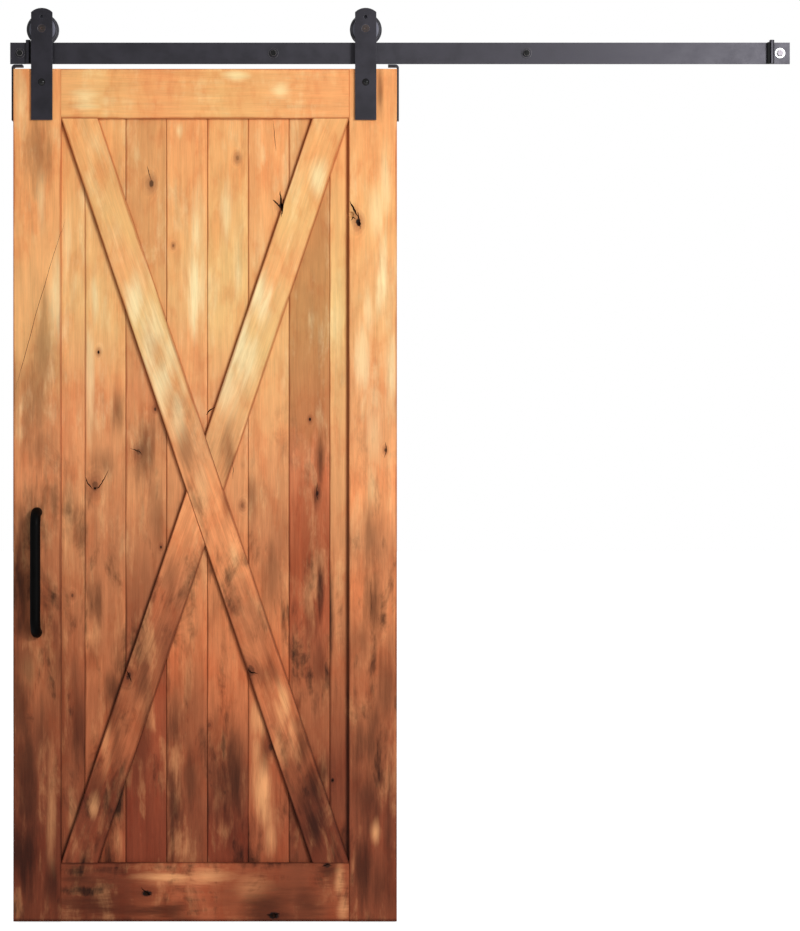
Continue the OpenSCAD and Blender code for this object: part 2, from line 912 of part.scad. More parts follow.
// A quarter turn of the bar, in the plane square to the door
module handle_bend(flip) {
    mirror([0, 0, flip])
        rotate([0, 90, 0])
            rotate(180)
                rotate_extrude(angle = 90)
                    translate([bend_r, 0])
                        circle(d = handle_d);
}

// Both handle bolts, from a countersunk head in the back of the stile into the legs, grown by fit
module handle_bolt_set(fit) {
    head_h = handle_bolt_d / 2;
    for (z = leg_z)
        translate([handle_x, 0, z]) {
            facing_out(door_back_y)
                cylinder(h = head_h, d1 = 2 * handle_bolt_d + 2 * fit, d2 = handle_bolt_d + 2 * fit);
            facing_out(door_back_y - head_h / 2)
                cylinder(h = door_t - head_h / 2 + handle_bolt_grip, d = handle_bolt_d + 2 * fit);
        }
}

module handle_bolts() {
    color(dark_steel)
        handle_bolt_set(0);
}

// ---- Pieces ----

track_bar();
for (i = [1 : 4])
    track_spacer(i);
wall_bolts_dark();
wall_bolt_bright();
wall_washers_dark();
wall_washer_bright();
stop("left");  // stop_left
stop("right");  // stop_right
bumper("left");  // bumper_left
bumper("right");  // bumper_right
stop_screws();
stile("left");  // stile_left
stile("right");  // stile_right
top_board();
bottom_board();
for (i = [1 : plank_count])
    plank(i);
brace_long();
brace_half(0.5, 1);  // brace_upper
brace_half(0, 0.5);  // brace_lower
for (i = [0 : 1]) {
    strap(axle_x[i]);
    axle_bolt(axle_x[i]);
    axle_spacer(axle_x[i]);
    axle_nut(axle_x[i]);
    bearing_inner(axle_x[i]);
    bearing_outer(axle_x[i]);
    bearing_balls(axle_x[i]);
    wheel(axle_x[i]);
}
hanger_bolts();
hanger_washers();
hanger_nuts();
bracket("left");  // bracket_left
bracket("right");  // bracket_right
bracket_screws();
handle();
handle_bolts();
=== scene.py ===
# %% [markdown]
# # A sliding barn door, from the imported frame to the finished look
# The real object is a framed plank door of stained knotty alder with an X brace. It hangs from two grooved
# wheels on a flat steel bar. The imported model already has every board, bolt and wheel at its true size and
# place, so it is loaded first and everything that follows is measured from it. The boards and the larger
# metal pieces get softened copies, because a real edge is never sharp, and every surface gets its finish.

# %% Load the frame
import json
import math
import random

import bpy
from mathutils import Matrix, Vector


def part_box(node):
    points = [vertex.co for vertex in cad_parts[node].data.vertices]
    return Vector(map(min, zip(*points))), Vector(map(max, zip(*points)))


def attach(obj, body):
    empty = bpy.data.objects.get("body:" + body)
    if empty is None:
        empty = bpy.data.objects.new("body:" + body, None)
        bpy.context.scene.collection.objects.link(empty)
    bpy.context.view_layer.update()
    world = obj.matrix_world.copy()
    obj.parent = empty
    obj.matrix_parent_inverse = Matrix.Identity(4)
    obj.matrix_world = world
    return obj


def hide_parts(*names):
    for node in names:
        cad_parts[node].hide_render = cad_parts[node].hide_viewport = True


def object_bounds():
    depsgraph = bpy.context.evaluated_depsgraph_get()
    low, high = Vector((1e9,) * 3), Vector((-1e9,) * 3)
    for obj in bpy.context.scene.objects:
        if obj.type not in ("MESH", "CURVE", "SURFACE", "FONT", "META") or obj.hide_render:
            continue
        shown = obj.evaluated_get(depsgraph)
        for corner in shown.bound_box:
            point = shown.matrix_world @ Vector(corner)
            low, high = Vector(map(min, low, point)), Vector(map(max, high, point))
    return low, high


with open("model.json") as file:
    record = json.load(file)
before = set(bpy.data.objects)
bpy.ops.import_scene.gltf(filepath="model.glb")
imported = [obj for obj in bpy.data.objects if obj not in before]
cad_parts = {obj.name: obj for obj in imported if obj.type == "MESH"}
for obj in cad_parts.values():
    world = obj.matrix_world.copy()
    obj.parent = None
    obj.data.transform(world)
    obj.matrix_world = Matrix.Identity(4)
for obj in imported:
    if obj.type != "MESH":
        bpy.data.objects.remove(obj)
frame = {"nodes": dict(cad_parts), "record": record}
cad_low, cad_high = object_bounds()
record = frame["record"]
body_of = {node: body for body, nodes in record["behaviour"]["bodies"].items() for node in nodes}
slot_of = {row["node"]: row["material_slot"] for row in record["subparts"]}
print("nodes", len(frame["nodes"]), "box", tuple(cad_low), tuple(cad_high))

# %% The door's own box, from its two stiles
door_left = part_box("stile_left")[0].x
door_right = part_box("stile_right")[1].x
door_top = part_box("stile_left")[1].z
door_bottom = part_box("stile_left")[0].z
door_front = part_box("stile_left")[0].y
door_w = door_right - door_left
door_h = door_top - door_bottom
print("door", round(door_w, 4), "by", round(door_h, 4))


def on_door(across, down, y=0.0):
    """The point at these shares of the door's width and height, counted from its top left corner."""
    return Vector((door_left + across * door_w, y, door_top - down * door_h))


# %% [markdown]
# ## Short words for nodes
# A material is a tree of small calculators joined by wires. Written out in full, each one takes four lines,
# so a few short helpers come first: `add` puts one in and fills its sockets, and the others name the
# calculations that wood and metal need again and again.

# %% Helpers for materials
def paint(red, green, blue):
    """A colour card's values, 0 to 255, as the linear colour that a shader takes."""
    def linear(value):
        share = value / 255
        return share / 12.92 if share <= 0.04045 else ((share + 0.055) / 1.055) ** 2.4
    return (linear(red), linear(green), linear(blue), 1.0)


def fill(tree, made, sockets):
    """Sets a node's sockets to values, or wires them to other nodes."""
    for name, value in sockets.items():
        if isinstance(value, bpy.types.NodeSocket):
            tree.links.new(value, made.inputs[name])
        else:
            made.inputs[name].default_value = value


def add(tree, kind, sockets=None, **settings):
    """A new node, with its settings and its sockets."""
    made = tree.nodes.new(kind)
    for name, value in settings.items():
        setattr(made, name, value)
    fill(tree, made, sockets or {})
    return made


def calc(tree, operation, first, second=0.5, third=0.5):
    """One Math node's value."""
    sockets = {0: first, 1: second}
    if operation == "MULTIPLY_ADD":
        sockets[2] = third
    return add(tree, "ShaderNodeMath", sockets, operation=operation).outputs[0]


def move(tree, operation, first, second=(0, 0, 0)):
    """One Vector Math node's vector, or its length."""
    sockets = {0: first} if operation == "LENGTH" else {0: first, 1: second}
    made = add(tree, "ShaderNodeVectorMath", sockets, operation=operation)
    return made.outputs["Value" if operation == "LENGTH" else "Vector"]


def part(tree, vector, axis):
    """One of a vector's three numbers."""
    return add(tree, "ShaderNodeSeparateXYZ", {0: vector}).outputs[axis]


def remap(tree, value, low, high, to_low=0.0, to_high=1.0):
    """The value eased from one range to another, and held at its ends."""
    sockets = {"Value": value, "From Min": low, "From Max": high, "To Min": to_low, "To Max": to_high}
    return add(tree, "ShaderNodeMapRange", sockets, interpolation_type="SMOOTHSTEP").outputs["Result"]


def noise(tree, vector, scale, detail=2.0, roughness=0.5, distortion=0.0):
    """Cloudy noise, from about 0.2 to 0.8, with an average of 0.5."""
    sockets = {"Vector": vector, "Scale": scale, "Detail": detail, "Roughness": roughness,
               "Distortion": distortion}
    return add(tree, "ShaderNodeTexNoise", sockets).outputs["Fac"]


def wobble(tree, cloud, size):
    """Noise as a shift to and fro, by half the size each way."""
    return calc(tree, "MULTIPLY_ADD", cloud, size, -size / 2)


def blend(tree, factor, under, over, how="MIX"):
    """Two colours mixed, multiplied or lightened, by a mask."""
    made = add(tree, "ShaderNodeMix", {0: factor, 6: under, 7: over}, data_type="RGBA", blend_type=how)
    return made.outputs[2]


def ramp(tree, value, stops):
    """A colour for each place along a value."""
    made = add(tree, "ShaderNodeValToRGB", {0: value})
    band = made.color_ramp
    while len(band.elements) > 1:
        band.elements.remove(band.elements[-1])
    band.elements[0].position, band.elements[0].color = stops[0]
    for place, colour in stops[1:]:
        band.elements.new(place).color = colour
    return made.outputs["Color"]


def new_group(name, given, results):
    """A shader node group with named sockets: its tree, what goes in, and what comes out."""
    tree = bpy.data.node_groups.new(name, "ShaderNodeTree")
    kinds = {"value": "NodeSocketFloat", "vector": "NodeSocketVector", "colour": "NodeSocketColor"}
    for label, kind in given:
        tree.interface.new_socket(name=label, in_out="INPUT", socket_type=kinds[kind])
    for label, kind in results:
        tree.interface.new_socket(name=label, in_out="OUTPUT", socket_type=kinds[kind])
    return tree, tree.nodes.new("NodeGroupInput").outputs, tree.nodes.new("NodeGroupOutput").inputs


def give(tree, result, **values):
    """Joins a group's results to its output."""
    for name, value in values.items():
        tree.links.new(value, result[name])


def use_group(tree, group, sockets):
    """A group placed in a material."""
    made = tree.nodes.new("ShaderNodeGroup")
    made.node_tree = group
    fill(tree, made, sockets)
    return made.outputs


def new_material(name):
    """An empty material: the material, its tree, its shader, and the Object coordinates."""
    made = bpy.data.materials.new(name)
    made.use_nodes = True
    tree = made.node_tree
    shader = tree.nodes["Principled BSDF"]
    place = tree.nodes.new("ShaderNodeTexCoord").outputs["Object"]
    return made, tree, shader, place


def wire(tree, shader, **sockets):
    """Joins outputs to the shader's sockets, or sets them."""
    fill(tree, shader, {name.replace("_", " "): value for name, value in sockets.items()})


# %% [markdown]
# ## Grain
# Alder is cut along the trunk, so its growth rings show as long wavy lines, its pores as short fine strokes,
# and its colour drifts in soft streaks, all along the board. Each is noise that is stretched along the board.
# The rings are the contour lines of a slow noise, which is what makes them wander and close like real ones.
# Anything added to that noise, such as a round swell at a knot, bends the rings around itself.

# %% The grain group
grain_group, given, result = new_group(
    "alder_grain", [("Along", "vector"), ("Seed", "value"), ("Swell", "value")],
    [("Rings", "value"), ("Streak", "value"), ("Pores", "value"), ("Relief", "value")])
tree = grain_group
apart = add(tree, "ShaderNodeCombineXYZ", {"X": given["Seed"], "Y": 0.0, "Z": given["Seed"]}).outputs[0]
own_place = move(tree, "ADD", given["Along"], apart)
slow = noise(tree, move(tree, "MULTIPLY", own_place, (1.0, 1.0, 0.10)), 11.0, 1.5, 0.45)
field = calc(tree, "ADD", slow, given["Swell"])
rings = calc(tree, "SINE", calc(tree, "MULTIPLY", field, 95.0))
streak = noise(tree, move(tree, "MULTIPLY", own_place, (1.0, 1.0, 0.045)), 70.0, 4.0, 0.6)
pores = noise(tree, move(tree, "MULTIPLY", own_place, (1.0, 1.0, 0.03)), 650.0, 2.0, 0.7)
relief = calc(tree, "MULTIPLY_ADD", pores, 0.7, calc(tree, "MULTIPLY", streak, 0.8))
give(tree, result, Rings=calc(tree, "MULTIPLY_ADD", rings, 0.5, 0.5), Streak=streak, Pores=pores, Relief=relief)

# %% The knot group
# A knot swells the rings round itself, and has a dark core inside a redder halo. Several are chained: each
# adds to what the ones before it made.
knot_group, given, result = new_group(
    "knot", [("Along", "vector"), ("Place", "vector"), ("Radius", "value"), ("Darkness", "value"),
             ("Swell", "value"), ("Core", "value"), ("Halo", "value")],
    [("Swell", "value"), ("Core", "value"), ("Halo", "value")])
tree = knot_group
from_knot = move(tree, "MULTIPLY", move(tree, "SUBTRACT", given["Along"], given["Place"]), (1.0, 0.0, 0.62))
ragged = noise(tree, given["Along"], 190.0, 3.0, 0.6)
reach = calc(tree, "DIVIDE", move(tree, "LENGTH", from_knot), given["Radius"])
reach = calc(tree, "ADD", reach, wobble(tree, ragged, 0.9))
swell = calc(tree, "MULTIPLY", remap(tree, reach, 0.0, 5.0, 1.0, 0.0), 0.22)
core = calc(tree, "MULTIPLY", remap(tree, reach, 0.6, 1.15, 1.0, 0.0), given["Darkness"])
halo = remap(tree, reach, 0.9, 3.6, 0.85, 0.0)
give(tree, result, Swell=calc(tree, "ADD", given["Swell"], swell), Core=calc(tree, "MAXIMUM", given["Core"], core),
     Halo=calc(tree, "MAXIMUM", given["Halo"], halo))

# %% [markdown]
# ## Stain
# The stain was wiped on by hand. It runs from honey at the top to russet at the bottom, and that drift is
# partly the stain and partly painted shade, where the light falls off down the door. The stain pooled in dark
# clouds, and it was rubbed back to pale wood in others. The drift from top to bottom and the small clouds that
# are everywhere are one group. The large clouds, which give this door its own face, are placed one by one, as
# shares of the door's width and height, and a second group draws each of them with a torn, brushed edge.

# %% The group for the stain that is everywhere, and for the painted shade that darkens it towards the bottom
stain_and_falloff_group, given, result = new_group(
    "wiped_stain_and_falloff_shade", [("Place", "vector"), ("Torn", "value")],
    [("Colour", "colour"), ("Pooled", "value"), ("Rubbed", "value"), ("Height", "value")])
tree = stain_and_falloff_group
height = add(tree, "ShaderNodeMapRange", {
    "Value": part(tree, given["Place"], "Z"), "From Min": door_top, "From Max": door_bottom}).outputs["Result"]
drift = noise(tree, move(tree, "MULTIPLY", given["Place"], (1.0, 1.0, 0.5)), 7.0, 4.0, 0.6)
blurred = calc(tree, "ADD", height, wobble(tree, drift, 0.16))
# Honey at the top to russet at the bottom: partly the stain's own colour, partly painted shade where the light falls
# off.
honey = paint(240, 175, 110)
pale_honey = paint(240, 188, 122)
amber = paint(230, 160, 105)
sienna = paint(210, 138, 90)
chestnut = paint(185, 110, 70)
russet = paint(145, 78, 50)
stain_and_falloff_shade_ramp = [(0.00, honey), (0.12, honey), (0.28, pale_honey), (0.43, amber), (0.54, sienna),
                   (0.70, chestnut), (0.87, russet)]
colour = ramp(tree, blurred, stain_and_falloff_shade_ramp)
mottle = noise(tree, move(tree, "MULTIPLY", given["Place"], (1.0, 1.0, 0.42)), 22.0, 5.0, 0.60, 0.25)
mottle = ramp(tree, mottle, [(0.36, (0.90, 0.70, 0.62, 1)), (0.50, (0.98, 0.94, 0.92, 1)), (0.62, (1, 1, 1, 1))])
colour = blend(tree, 0.70, colour, mottle, "MULTIPLY")
pools = noise(tree, move(tree, "MULTIPLY", given["Place"], (1.0, 1.0, 0.42)), 13.0, 5.0, 0.66, 0.4)
pools = calc(tree, "ADD", pools, wobble(tree, given["Torn"], 0.6))
shifted = move(tree, "ADD", given["Place"], (3.1, 0.0, 1.7))
rubs = noise(tree, move(tree, "MULTIPLY", shifted, (1.0, 1.0, 0.35)), 17.0, 5.0, 0.66, 0.3)
rubs = calc(tree, "ADD", rubs, wobble(tree, given["Torn"], 0.6))
give(tree, result, Colour=colour, Height=height, Pooled=remap(tree, pools, 0.48, 0.80),
     Rubbed=remap(tree, rubs, 0.50, 0.80))

# %% The group for one placed cloud
cloud_group, given, result = new_group(
    "placed_cloud", [("Place", "vector"), ("Torn", "value"), ("Centre", "vector"), ("Reach", "vector"),
                     ("Strength", "value"), ("So far", "value")], [("Mask", "value")])
tree = cloud_group
away = move(tree, "LENGTH", move(tree, "DIVIDE", move(tree, "SUBTRACT", given["Place"], given["Centre"]),
                                 given["Reach"]))
away = calc(tree, "ADD", away, wobble(tree, given["Torn"], 3.4))
mask = calc(tree, "MULTIPLY", remap(tree, away, -0.15, 1.55, 1.0, 0.0), given["Strength"])
give(tree, result, Mask=calc(tree, "MAXIMUM", given["So far"], mask))
print("groups:", ", ".join(group.name for group in bpy.data.node_groups))

# %% [markdown]
# ## Which board is where
# Each finish has to know its own board: where its middle is, how far it leans, and how wide it is. The
# upright and level boards say that with their boxes. A sloping board's box only says where its ends are, so
# the long brace's lean is the one that makes it narrowest, and its half width is measured across that lean;
# the two short braces take the same middle and width, and the mirrored lean.

# %% Measure the boards
planks = sorted((n for n in frame["nodes"] if n.startswith("plank_")), key=lambda n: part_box(n)[0].x)
rails = ["top_board", "bottom_board"]
stiles = ["stile_left", "stile_right"]
braces = ["brace_long", "brace_upper", "brace_lower"]
long_low, long_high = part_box("brace_long")
brace_middle = (long_low + long_high) / 2
brace_points = [v.co.copy() for v in frame["nodes"]["brace_long"].data.vertices]


def across_brace(point, lean):
    """How far a point is from the line through the braces' middle that leans by this angle."""
    return (point.x - brace_middle.x) * math.cos(lean) - (point.z - brace_middle.z) * math.sin(lean)


# The long brace's lean is the one that makes it narrowest.
brace_lean = min((math.radians(step / 20) for step in range(-600, -200)),
                 key=lambda lean: max(across_brace(p, lean) for p in brace_points))
brace_half = max(across_brace(p, brace_lean) for p in brace_points)
print("brace leans", round(math.degrees(brace_lean), 2), "half width", round(brace_half, 4))


def board_facts(node):
    """A board's middle, its lean from upright, and half its width."""
    low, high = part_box(node)
    middle = (low + high) / 2
    if node in braces:
        lean = brace_lean if node == "brace_long" else -brace_lean
        return brace_middle, lean, brace_half
    if node in rails:
        return middle, math.radians(90), (high.z - low.z) / 2
    return middle, 0.0, (high.x - low.x) / 2


def board_at(across, down):
    """The board that shows at a place on the door's front."""
    point = on_door(across, down)
    for node in braces:
        low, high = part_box(node)
        inside = low.z < point.z < high.z and abs(across_brace(point, board_facts(node)[1])) < brace_half
        if inside and low.x < point.x < high.x:
            return node
    for node in stiles + rails:
        low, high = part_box(node)
        if node in rails:
            low.x, high.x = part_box("stile_left")[1].x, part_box("stile_right")[0].x
        if low.x <= point.x <= high.x and low.z <= point.z <= high.z:
            return node
    return min(planks, key=lambda n: abs((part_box(n)[0].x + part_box(n)[1].x) / 2 - point.x))


# %% [markdown]
# ## Where the stain pooled, where the handle's shadow is painted, and where it was rubbed away
# Each row is a cloud: how far across and down its middle is, how far it reaches each way, and how strong it
# is. The dark ones gather towards the bottom and round the handle, where those at its left also stand for
# the handle's painted shadow on the stile.

# %% The placed clouds
# The dark rows close to the handle, about .01 to .06 across and .53 to .66 down, are partly its painted shadow.
dark_clouds_and_shadow = [
    (.957, .025, .008, .03, .6), (.888, .168, .014, .012, .6), (.064, .095, .035, .05, .5),
    (.085, .33, .03, .06, .5), (.05, .40, .05, .05, .5), (.076, .44, .04, .03, .45), (.27, .405, .02, .03, .65),
    (.345, .445, .03, .035, .65), (.235, .465, .03, .02, .45), (.45, .445, .02, .03, .4),
    (.565, .45, .02, .03, .5), (.797, .46, .015, .03, .75), (.79, .50, .012, .02, .9),
    (.012, .60, .035, .075, .95), (.02, .53, .02, .03, .6), (.06, .655, .06, .018, .6),
    (.03, .70, .05, .04, .55), (.02, .75, .04, .06, .7), (.205, .63, .025, .03, .75), (.37, .53, .02, .05, .4),
    (.345, .60, .03, .05, .25), (.41, .60, .02, .04, .5), (.325, .68, .03, .035, .9),
    (.29, .705, .03, .025, .75), (.26, .73, .03, .025, .7), (.46, .60, .02, .05, .4), (.52, .63, .02, .04, .4),
    (.557, .51, .015, .03, .4), (.62, .50, .03, .03, .4), (.67, .60, .03, .03, .35), (.66, .71, .03, .02, .5),
    (.80, .60, .012, .035, .9), (.82, .63, .015, .04, .9), (.77, .65, .02, .05, .5), (.80, .70, .03, .03, .5),
    (.93, .545, .025, .05, .55), (.935, .63, .025, .04, .75), (.91, .67, .03, .03, .5),
    (.975, .72, .02, .05, .5), (.155, .72, .03, .05, .25), (.11, .70, .03, .06, .4), (.03, .84, .04, .09, .7),
    (.02, .92, .05, .06, .8), (.07, .78, .03, .05, .5), (.168, .775, .02, .05, .55), (.192, .80, .012, .04, .7),
    (.21, .69, .02, .025, .45), (.215, .84, .02, .03, .4), (.24, .90, .02, .03, .4), (.27, .78, .015, .04, .5),
    (.33, .80, .03, .05, .4), (.345, .72, .02, .04, .6), (.42, .77, .03, .04, .6), (.42, .87, .025, .06, .8),
    (.46, .83, .02, .03, .5), (.455, .73, .03, .04, .25), (.555, .83, .05, .06, .8), (.53, .76, .02, .04, .45),
    (.575, .90, .02, .03, .5), (.66, .80, .02, .02, .6), (.75, .80, .025, .03, .7),
    (.78, .845, .035, .035, .85), (.79, .885, .03, .03, .8), (.745, .765, .02, .02, .5),
    (.73, .87, .02, .03, .5), (.81, .825, .02, .02, .7), (.92, .79, .04, .04, .65), (.92, .85, .04, .04, .65),
    (.905, .94, .03, .04, .7), (.98, .84, .015, .08, .6), (.96, .96, .03, .03, .5), (.10, .96, .02, .03, .7),
    (.20, .975, .09, .025, .6), (.17, .945, .04, .015, .6), (.42, .985, .07, .015, .75),
    (.55, .97, .05, .02, .25), (.66, .985, .06, .02, .7), (.82, .94, .03, .015, .8), (.77, .98, .04, .015, .5)]
pale_rubs = [
    (.19, .035, .035, .012, .7), (.58, .008, .03, .008, .8), (.695, .025, .02, .01, .7),
    (.43, .072, .012, .01, .7), (.48, .19, .015, .045, .85), (.475, .25, .022, .045, 1),
    (.32, .27, .02, .03, .9), (.36, .315, .03, .04, 1), (.395, .36, .03, .035, 1), (.43, .40, .02, .03, .8),
    (.585, .235, .012, .04, .7), (.55, .16, .012, .03, .6), (.79, .127, .02, .02, .9),
    (.64, .265, .025, .03, 1), (.60, .33, .03, .045, .95), (.56, .37, .03, .03, .7), (.97, .13, .012, .04, .6),
    (.945, .17, .015, .03, .55), (.965, .25, .02, .05, 1), (.925, .28, .012, .03, .5),
    (.11, .27, .015, .05, .7), (.14, .22, .012, .05, .5), (.213, .265, .012, .03, .7),
    (.075, .155, .012, .03, .5), (.20, .37, .012, .06, .5), (.84, .30, .015, .05, .4),
    (.985, .36, .015, .05, .7), (.91, .34, .02, .04, .6), (.935, .495, .015, .025, .9),
    (.94, .42, .02, .04, .5), (.49, .50, .02, .03, .4), (.575, .575, .015, .02, .8), (.50, .58, .012, .04, .4),
    (.14, .53, .015, .05, .4), (.705, .745, .02, .03, 1), (.725, .775, .014, .02, .7),
    (.64, .765, .02, .02, .7), (.635, .80, .012, .02, .6), (.65, .855, .025, .045, .95),
    (.665, .90, .015, .02, .6), (.21, .865, .015, .012, .8), (.27, .905, .012, .02, .5),
    (.40, .948, .08, .008, .9), (.50, .945, .06, .012, .8), (.62, .96, .04, .012, .35),
    (.945, .895, .01, .012, .9), (.85, .95, .012, .02, .8), (.86, .98, .012, .015, .6),
    (.10, .86, .012, .06, .6), (.045, .705, .02, .02, .4), (.24, .79, .012, .03, .4)]
print("clouds", len(dark_clouds_and_shadow), "dark and", len(pale_rubs), "pale")

# %% [markdown]
# ## Each board's own tone
# No two boards took the stain alike. A finisher would say that one board is warm at the top and turns
# russet lower down, so the boards are written in that way. Ten named tones multiply the stain: above 1 is
# paler than the rest of the door at that height, below 1 is darker, and less green and blue is redder. Each
# board lists where it shows which tone, down its length, or across it on the two level rails.

# %% The tones
tones = {
    "plain": (1.0, 1.0, 1.0), "honeyed": (1.0, 1.1, 1.1), "warm": (1.0, 0.9, 0.9), "bright": (1.3, 1.25, 1.2),
    "bleached": (1.7, 1.7, 1.7), "dusky": (0.85, 0.8, 0.8), "olive": (0.65, 0.55, 0.5),
    "reddened": (0.85, 0.65, 0.65), "deep": (0.65, 0.55, 0.55), "oxblood": (0.6, 0.35, 0.3)}
board_tones = {
    "stile_left": [(.10, "warm"), (.30, "warm"), (.36, "dusky"), (.48, "warm"), (.65, "deep"), (.72, "plain"),
        (.80, "dusky"), (.92, "deep")],
    "stile_right": [(.05, "warm"), (.17, "plain"), (.24, "warm"), (.36, "warm"), (.43, "plain"),
        (.50, "bright"), (.56, "plain"), (.62, "bright"), (.70, "plain"), (.80, "plain"), (.92, "dusky")],
    "plank_1": [(.10, "plain"), (.25, "plain"), (.42, "warm"), (.55, "plain"), (.68, "dusky"), (.77, "deep"),
        (.85, "plain")],
    "plank_2": [(.28, "plain"), (.38, "warm"), (.46, "dusky"), (.57, "dusky"), (.66, "plain"), (.88, "bright")],
    "plank_3": [(.06, "dusky"), (.24, "dusky"), (.38, "reddened"), (.45, "dusky"), (.50, "plain"),
        (.57, "dusky"), (.64, "deep"), (.75, "reddened"), (.90, "reddened")],
    "plank_4": [(.10, "warm"), (.22, "plain"), (.32, "warm"), (.50, "plain"), (.68, "bright"), (.79, "dusky"),
        (.88, "plain")],
    "plank_5": [(.10, "plain"), (.22, "honeyed"), (.35, "plain"), (.50, "plain"), (.62, "bright"),
        (.76, "bright"), (.82, "dusky"), (.90, "reddened")],
    "plank_6": [(.08, "warm"), (.18, "warm"), (.35, "plain"), (.48, "plain"), (.55, "dusky"), (.66, "bright"),
        (.95, "bright")],
    "plank_7": [(.08, "dusky"), (.20, "olive"), (.42, "olive"), (.47, "reddened"), (.58, "oxblood"),
        (.66, "reddened"), (.73, "plain"), (.85, "dusky")],
    "plank_8": [(.10, "plain"), (.28, "honeyed"), (.50, "honeyed"), (.70, "plain"), (.82, "deep"),
        (.90, "plain")],
    "brace_long": [(.10, "plain"), (.18, "honeyed"), (.23, "warm"), (.30, "honeyed"), (.44, "plain"),
        (.52, "bright"), (.59, "bright"), (.64, "dusky"), (.72, "bright"), (.79, "bright"), (.87, "deep")],
    "brace_upper": [(.10, "plain"), (.17, "honeyed"), (.23, "warm"), (.32, "honeyed"), (.42, "honeyed")],
    "brace_lower": [(.55, "bright"), (.61, "warm"), (.67, "deep"), (.74, "plain"), (.79, "bright"),
        (.85, "deep"), (.93, "warm")],
    "top_board": [(.14, "plain"), (.23, "honeyed"), (.30, "plain"), (.38, "warm"), (.54, "honeyed"),
        (.66, "plain"), (.80, "warm")],
    "bottom_board": [(.15, "dusky"), (.30, "deep"), (.38, "bright"), (.47, "bleached"), (.57, "bright"),
        (.74, "dusky"), (.86, "bright")]}
print("tones", len(tones), "on", len(board_tones), "boards")

# %% [markdown]
# ## Knots
# The knots are sound or open. A sound knot is only colour and bent grain. An open one has lost its middle,
# so it is also a real hole, which is cut further on. Each row is a place, a radius in millimetres and how
# dark the middle is.

# %% The knots, as shares of the door
knots = [
    (.359, .134, 6, .75), (.416, .207, 2.5, .5), (.697, .160, 5, .95), (.899, .180, 6, 1.0),
    (.221, .332, 3, .95), (.212, .489, 8, .5), (.773, .411, 3, .9), (.384, .561, 2.5, .8), (.369, .399, 3, .8),
    (.620, .706, 9, .6), (.301, .712, 6, .7), (.671, .796, 6, .6), (.832, .835, 4, .7), (.348, .967, 8, 1.0),
    (.679, .993, 9, 1.0), (.818, .934, 6, .8), (.584, .104, 4, .35), (.153, .618, 3, .6), (.596, .512, 4, .3),
    (.970, .447, 3, .8), (.792, .498, 4, .8), (.325, .449, 5, .4), (.51, .77, 4, .35)]
print("knots", len(knots))

# %% [markdown]
# ## The wood finish
# Each board's colour is built in the order in which the real one came about: stain, tone, clouds, grain and
# knots. Last come the dark lines along its edges and in its corners: dark joints with painted shade in the
# grooves, and painted shadow where a raised board stands beside it.

# %% How strong each step is
knot_black = paint(22, 12, 9)
knot_red = paint(126, 62, 38)
# The colour that pooled stain and the handle's painted shadow multiply by.
pooled_and_shadow_share = (0.07, 0.055, 0.045, 1.0)
# The colour that the joints, painted shade and painted shadow multiply by: redder at the top, browner lower down.
joint_and_shade_by_height = [(0.0, (0.52, 0.24, 0.15, 1)), (0.40, (0.44, 0.22, 0.15, 1)), (0.60, (0.26, 0.18, 0.15, 1))]
# The rubbed wood also darkens down the door: partly its own colour, partly the same painted falloff shade.
pale_by_height = [(0.0, paint(254, 232, 170)), (0.36, paint(254, 234, 180)), (0.50, paint(252, 202, 142)),
                  (0.68, paint(248, 178, 118)), (1.0, paint(244, 174, 118))]
tint_scale = 3.0          # a colour ramp holds 0 to 1, so tones go in divided by this
front_depth = 0.006       # the painted shadow in corners is only this deep, so the planks' backs stay plain
rub_opacity = 0.86
rubbed_everywhere = 0.45
pooled_at_top = 0.14
pooled_more_below = 0.86
halo_opacity = 0.55
# How strong the darkening is: joints with painted shade along the edges, painted shadow in the corners, and painted
# shade along the bottom edge.
edge_joint_and_shade = 0.62
painted_corner_shadow = 0.85
bottom_edge_shade = 0.8
wood_gloss = 0.16
panel_half = (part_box("top_board")[0].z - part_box("bottom_board")[1].z) / 2


# %% Painted shadow in corners, and dark joints with painted shade along the edges
def sideways_of(tree, place, middle, lean):
    """How far a point is to the right of the line that runs through middle and leans from upright."""
    turned = add(tree, "ShaderNodeMapping", {"Vector": place, "Location": middle, "Rotation": (0, lean, 0)},
                 vector_type="TEXTURE").outputs[0]
    return turned, part(tree, turned, "X")


def shadow_and_joint_beside_brace(tree, place, lean):
    """Painted shadow that a brace casts on the planks to its left, as a broad dark line, and a fine dark joint line
    on its right.
    """
    sideways = sideways_of(tree, place, brace_middle, lean)[1]
    broad = 0.0065 if lean == brace_lean else 0.0105
    left = remap(tree, sideways, -brace_half - broad, -brace_half - 0.001, 0.0, painted_corner_shadow)
    left = calc(tree, "MULTIPLY", left, calc(tree, "LESS_THAN", sideways, 0.0))
    right = remap(tree, sideways, brace_half, brace_half + 0.0035, 0.6, 0.0)
    right = calc(tree, "MULTIPLY", right, calc(tree, "GREATER_THAN", sideways, 0.0))
    return calc(tree, "MAXIMUM", left, right)


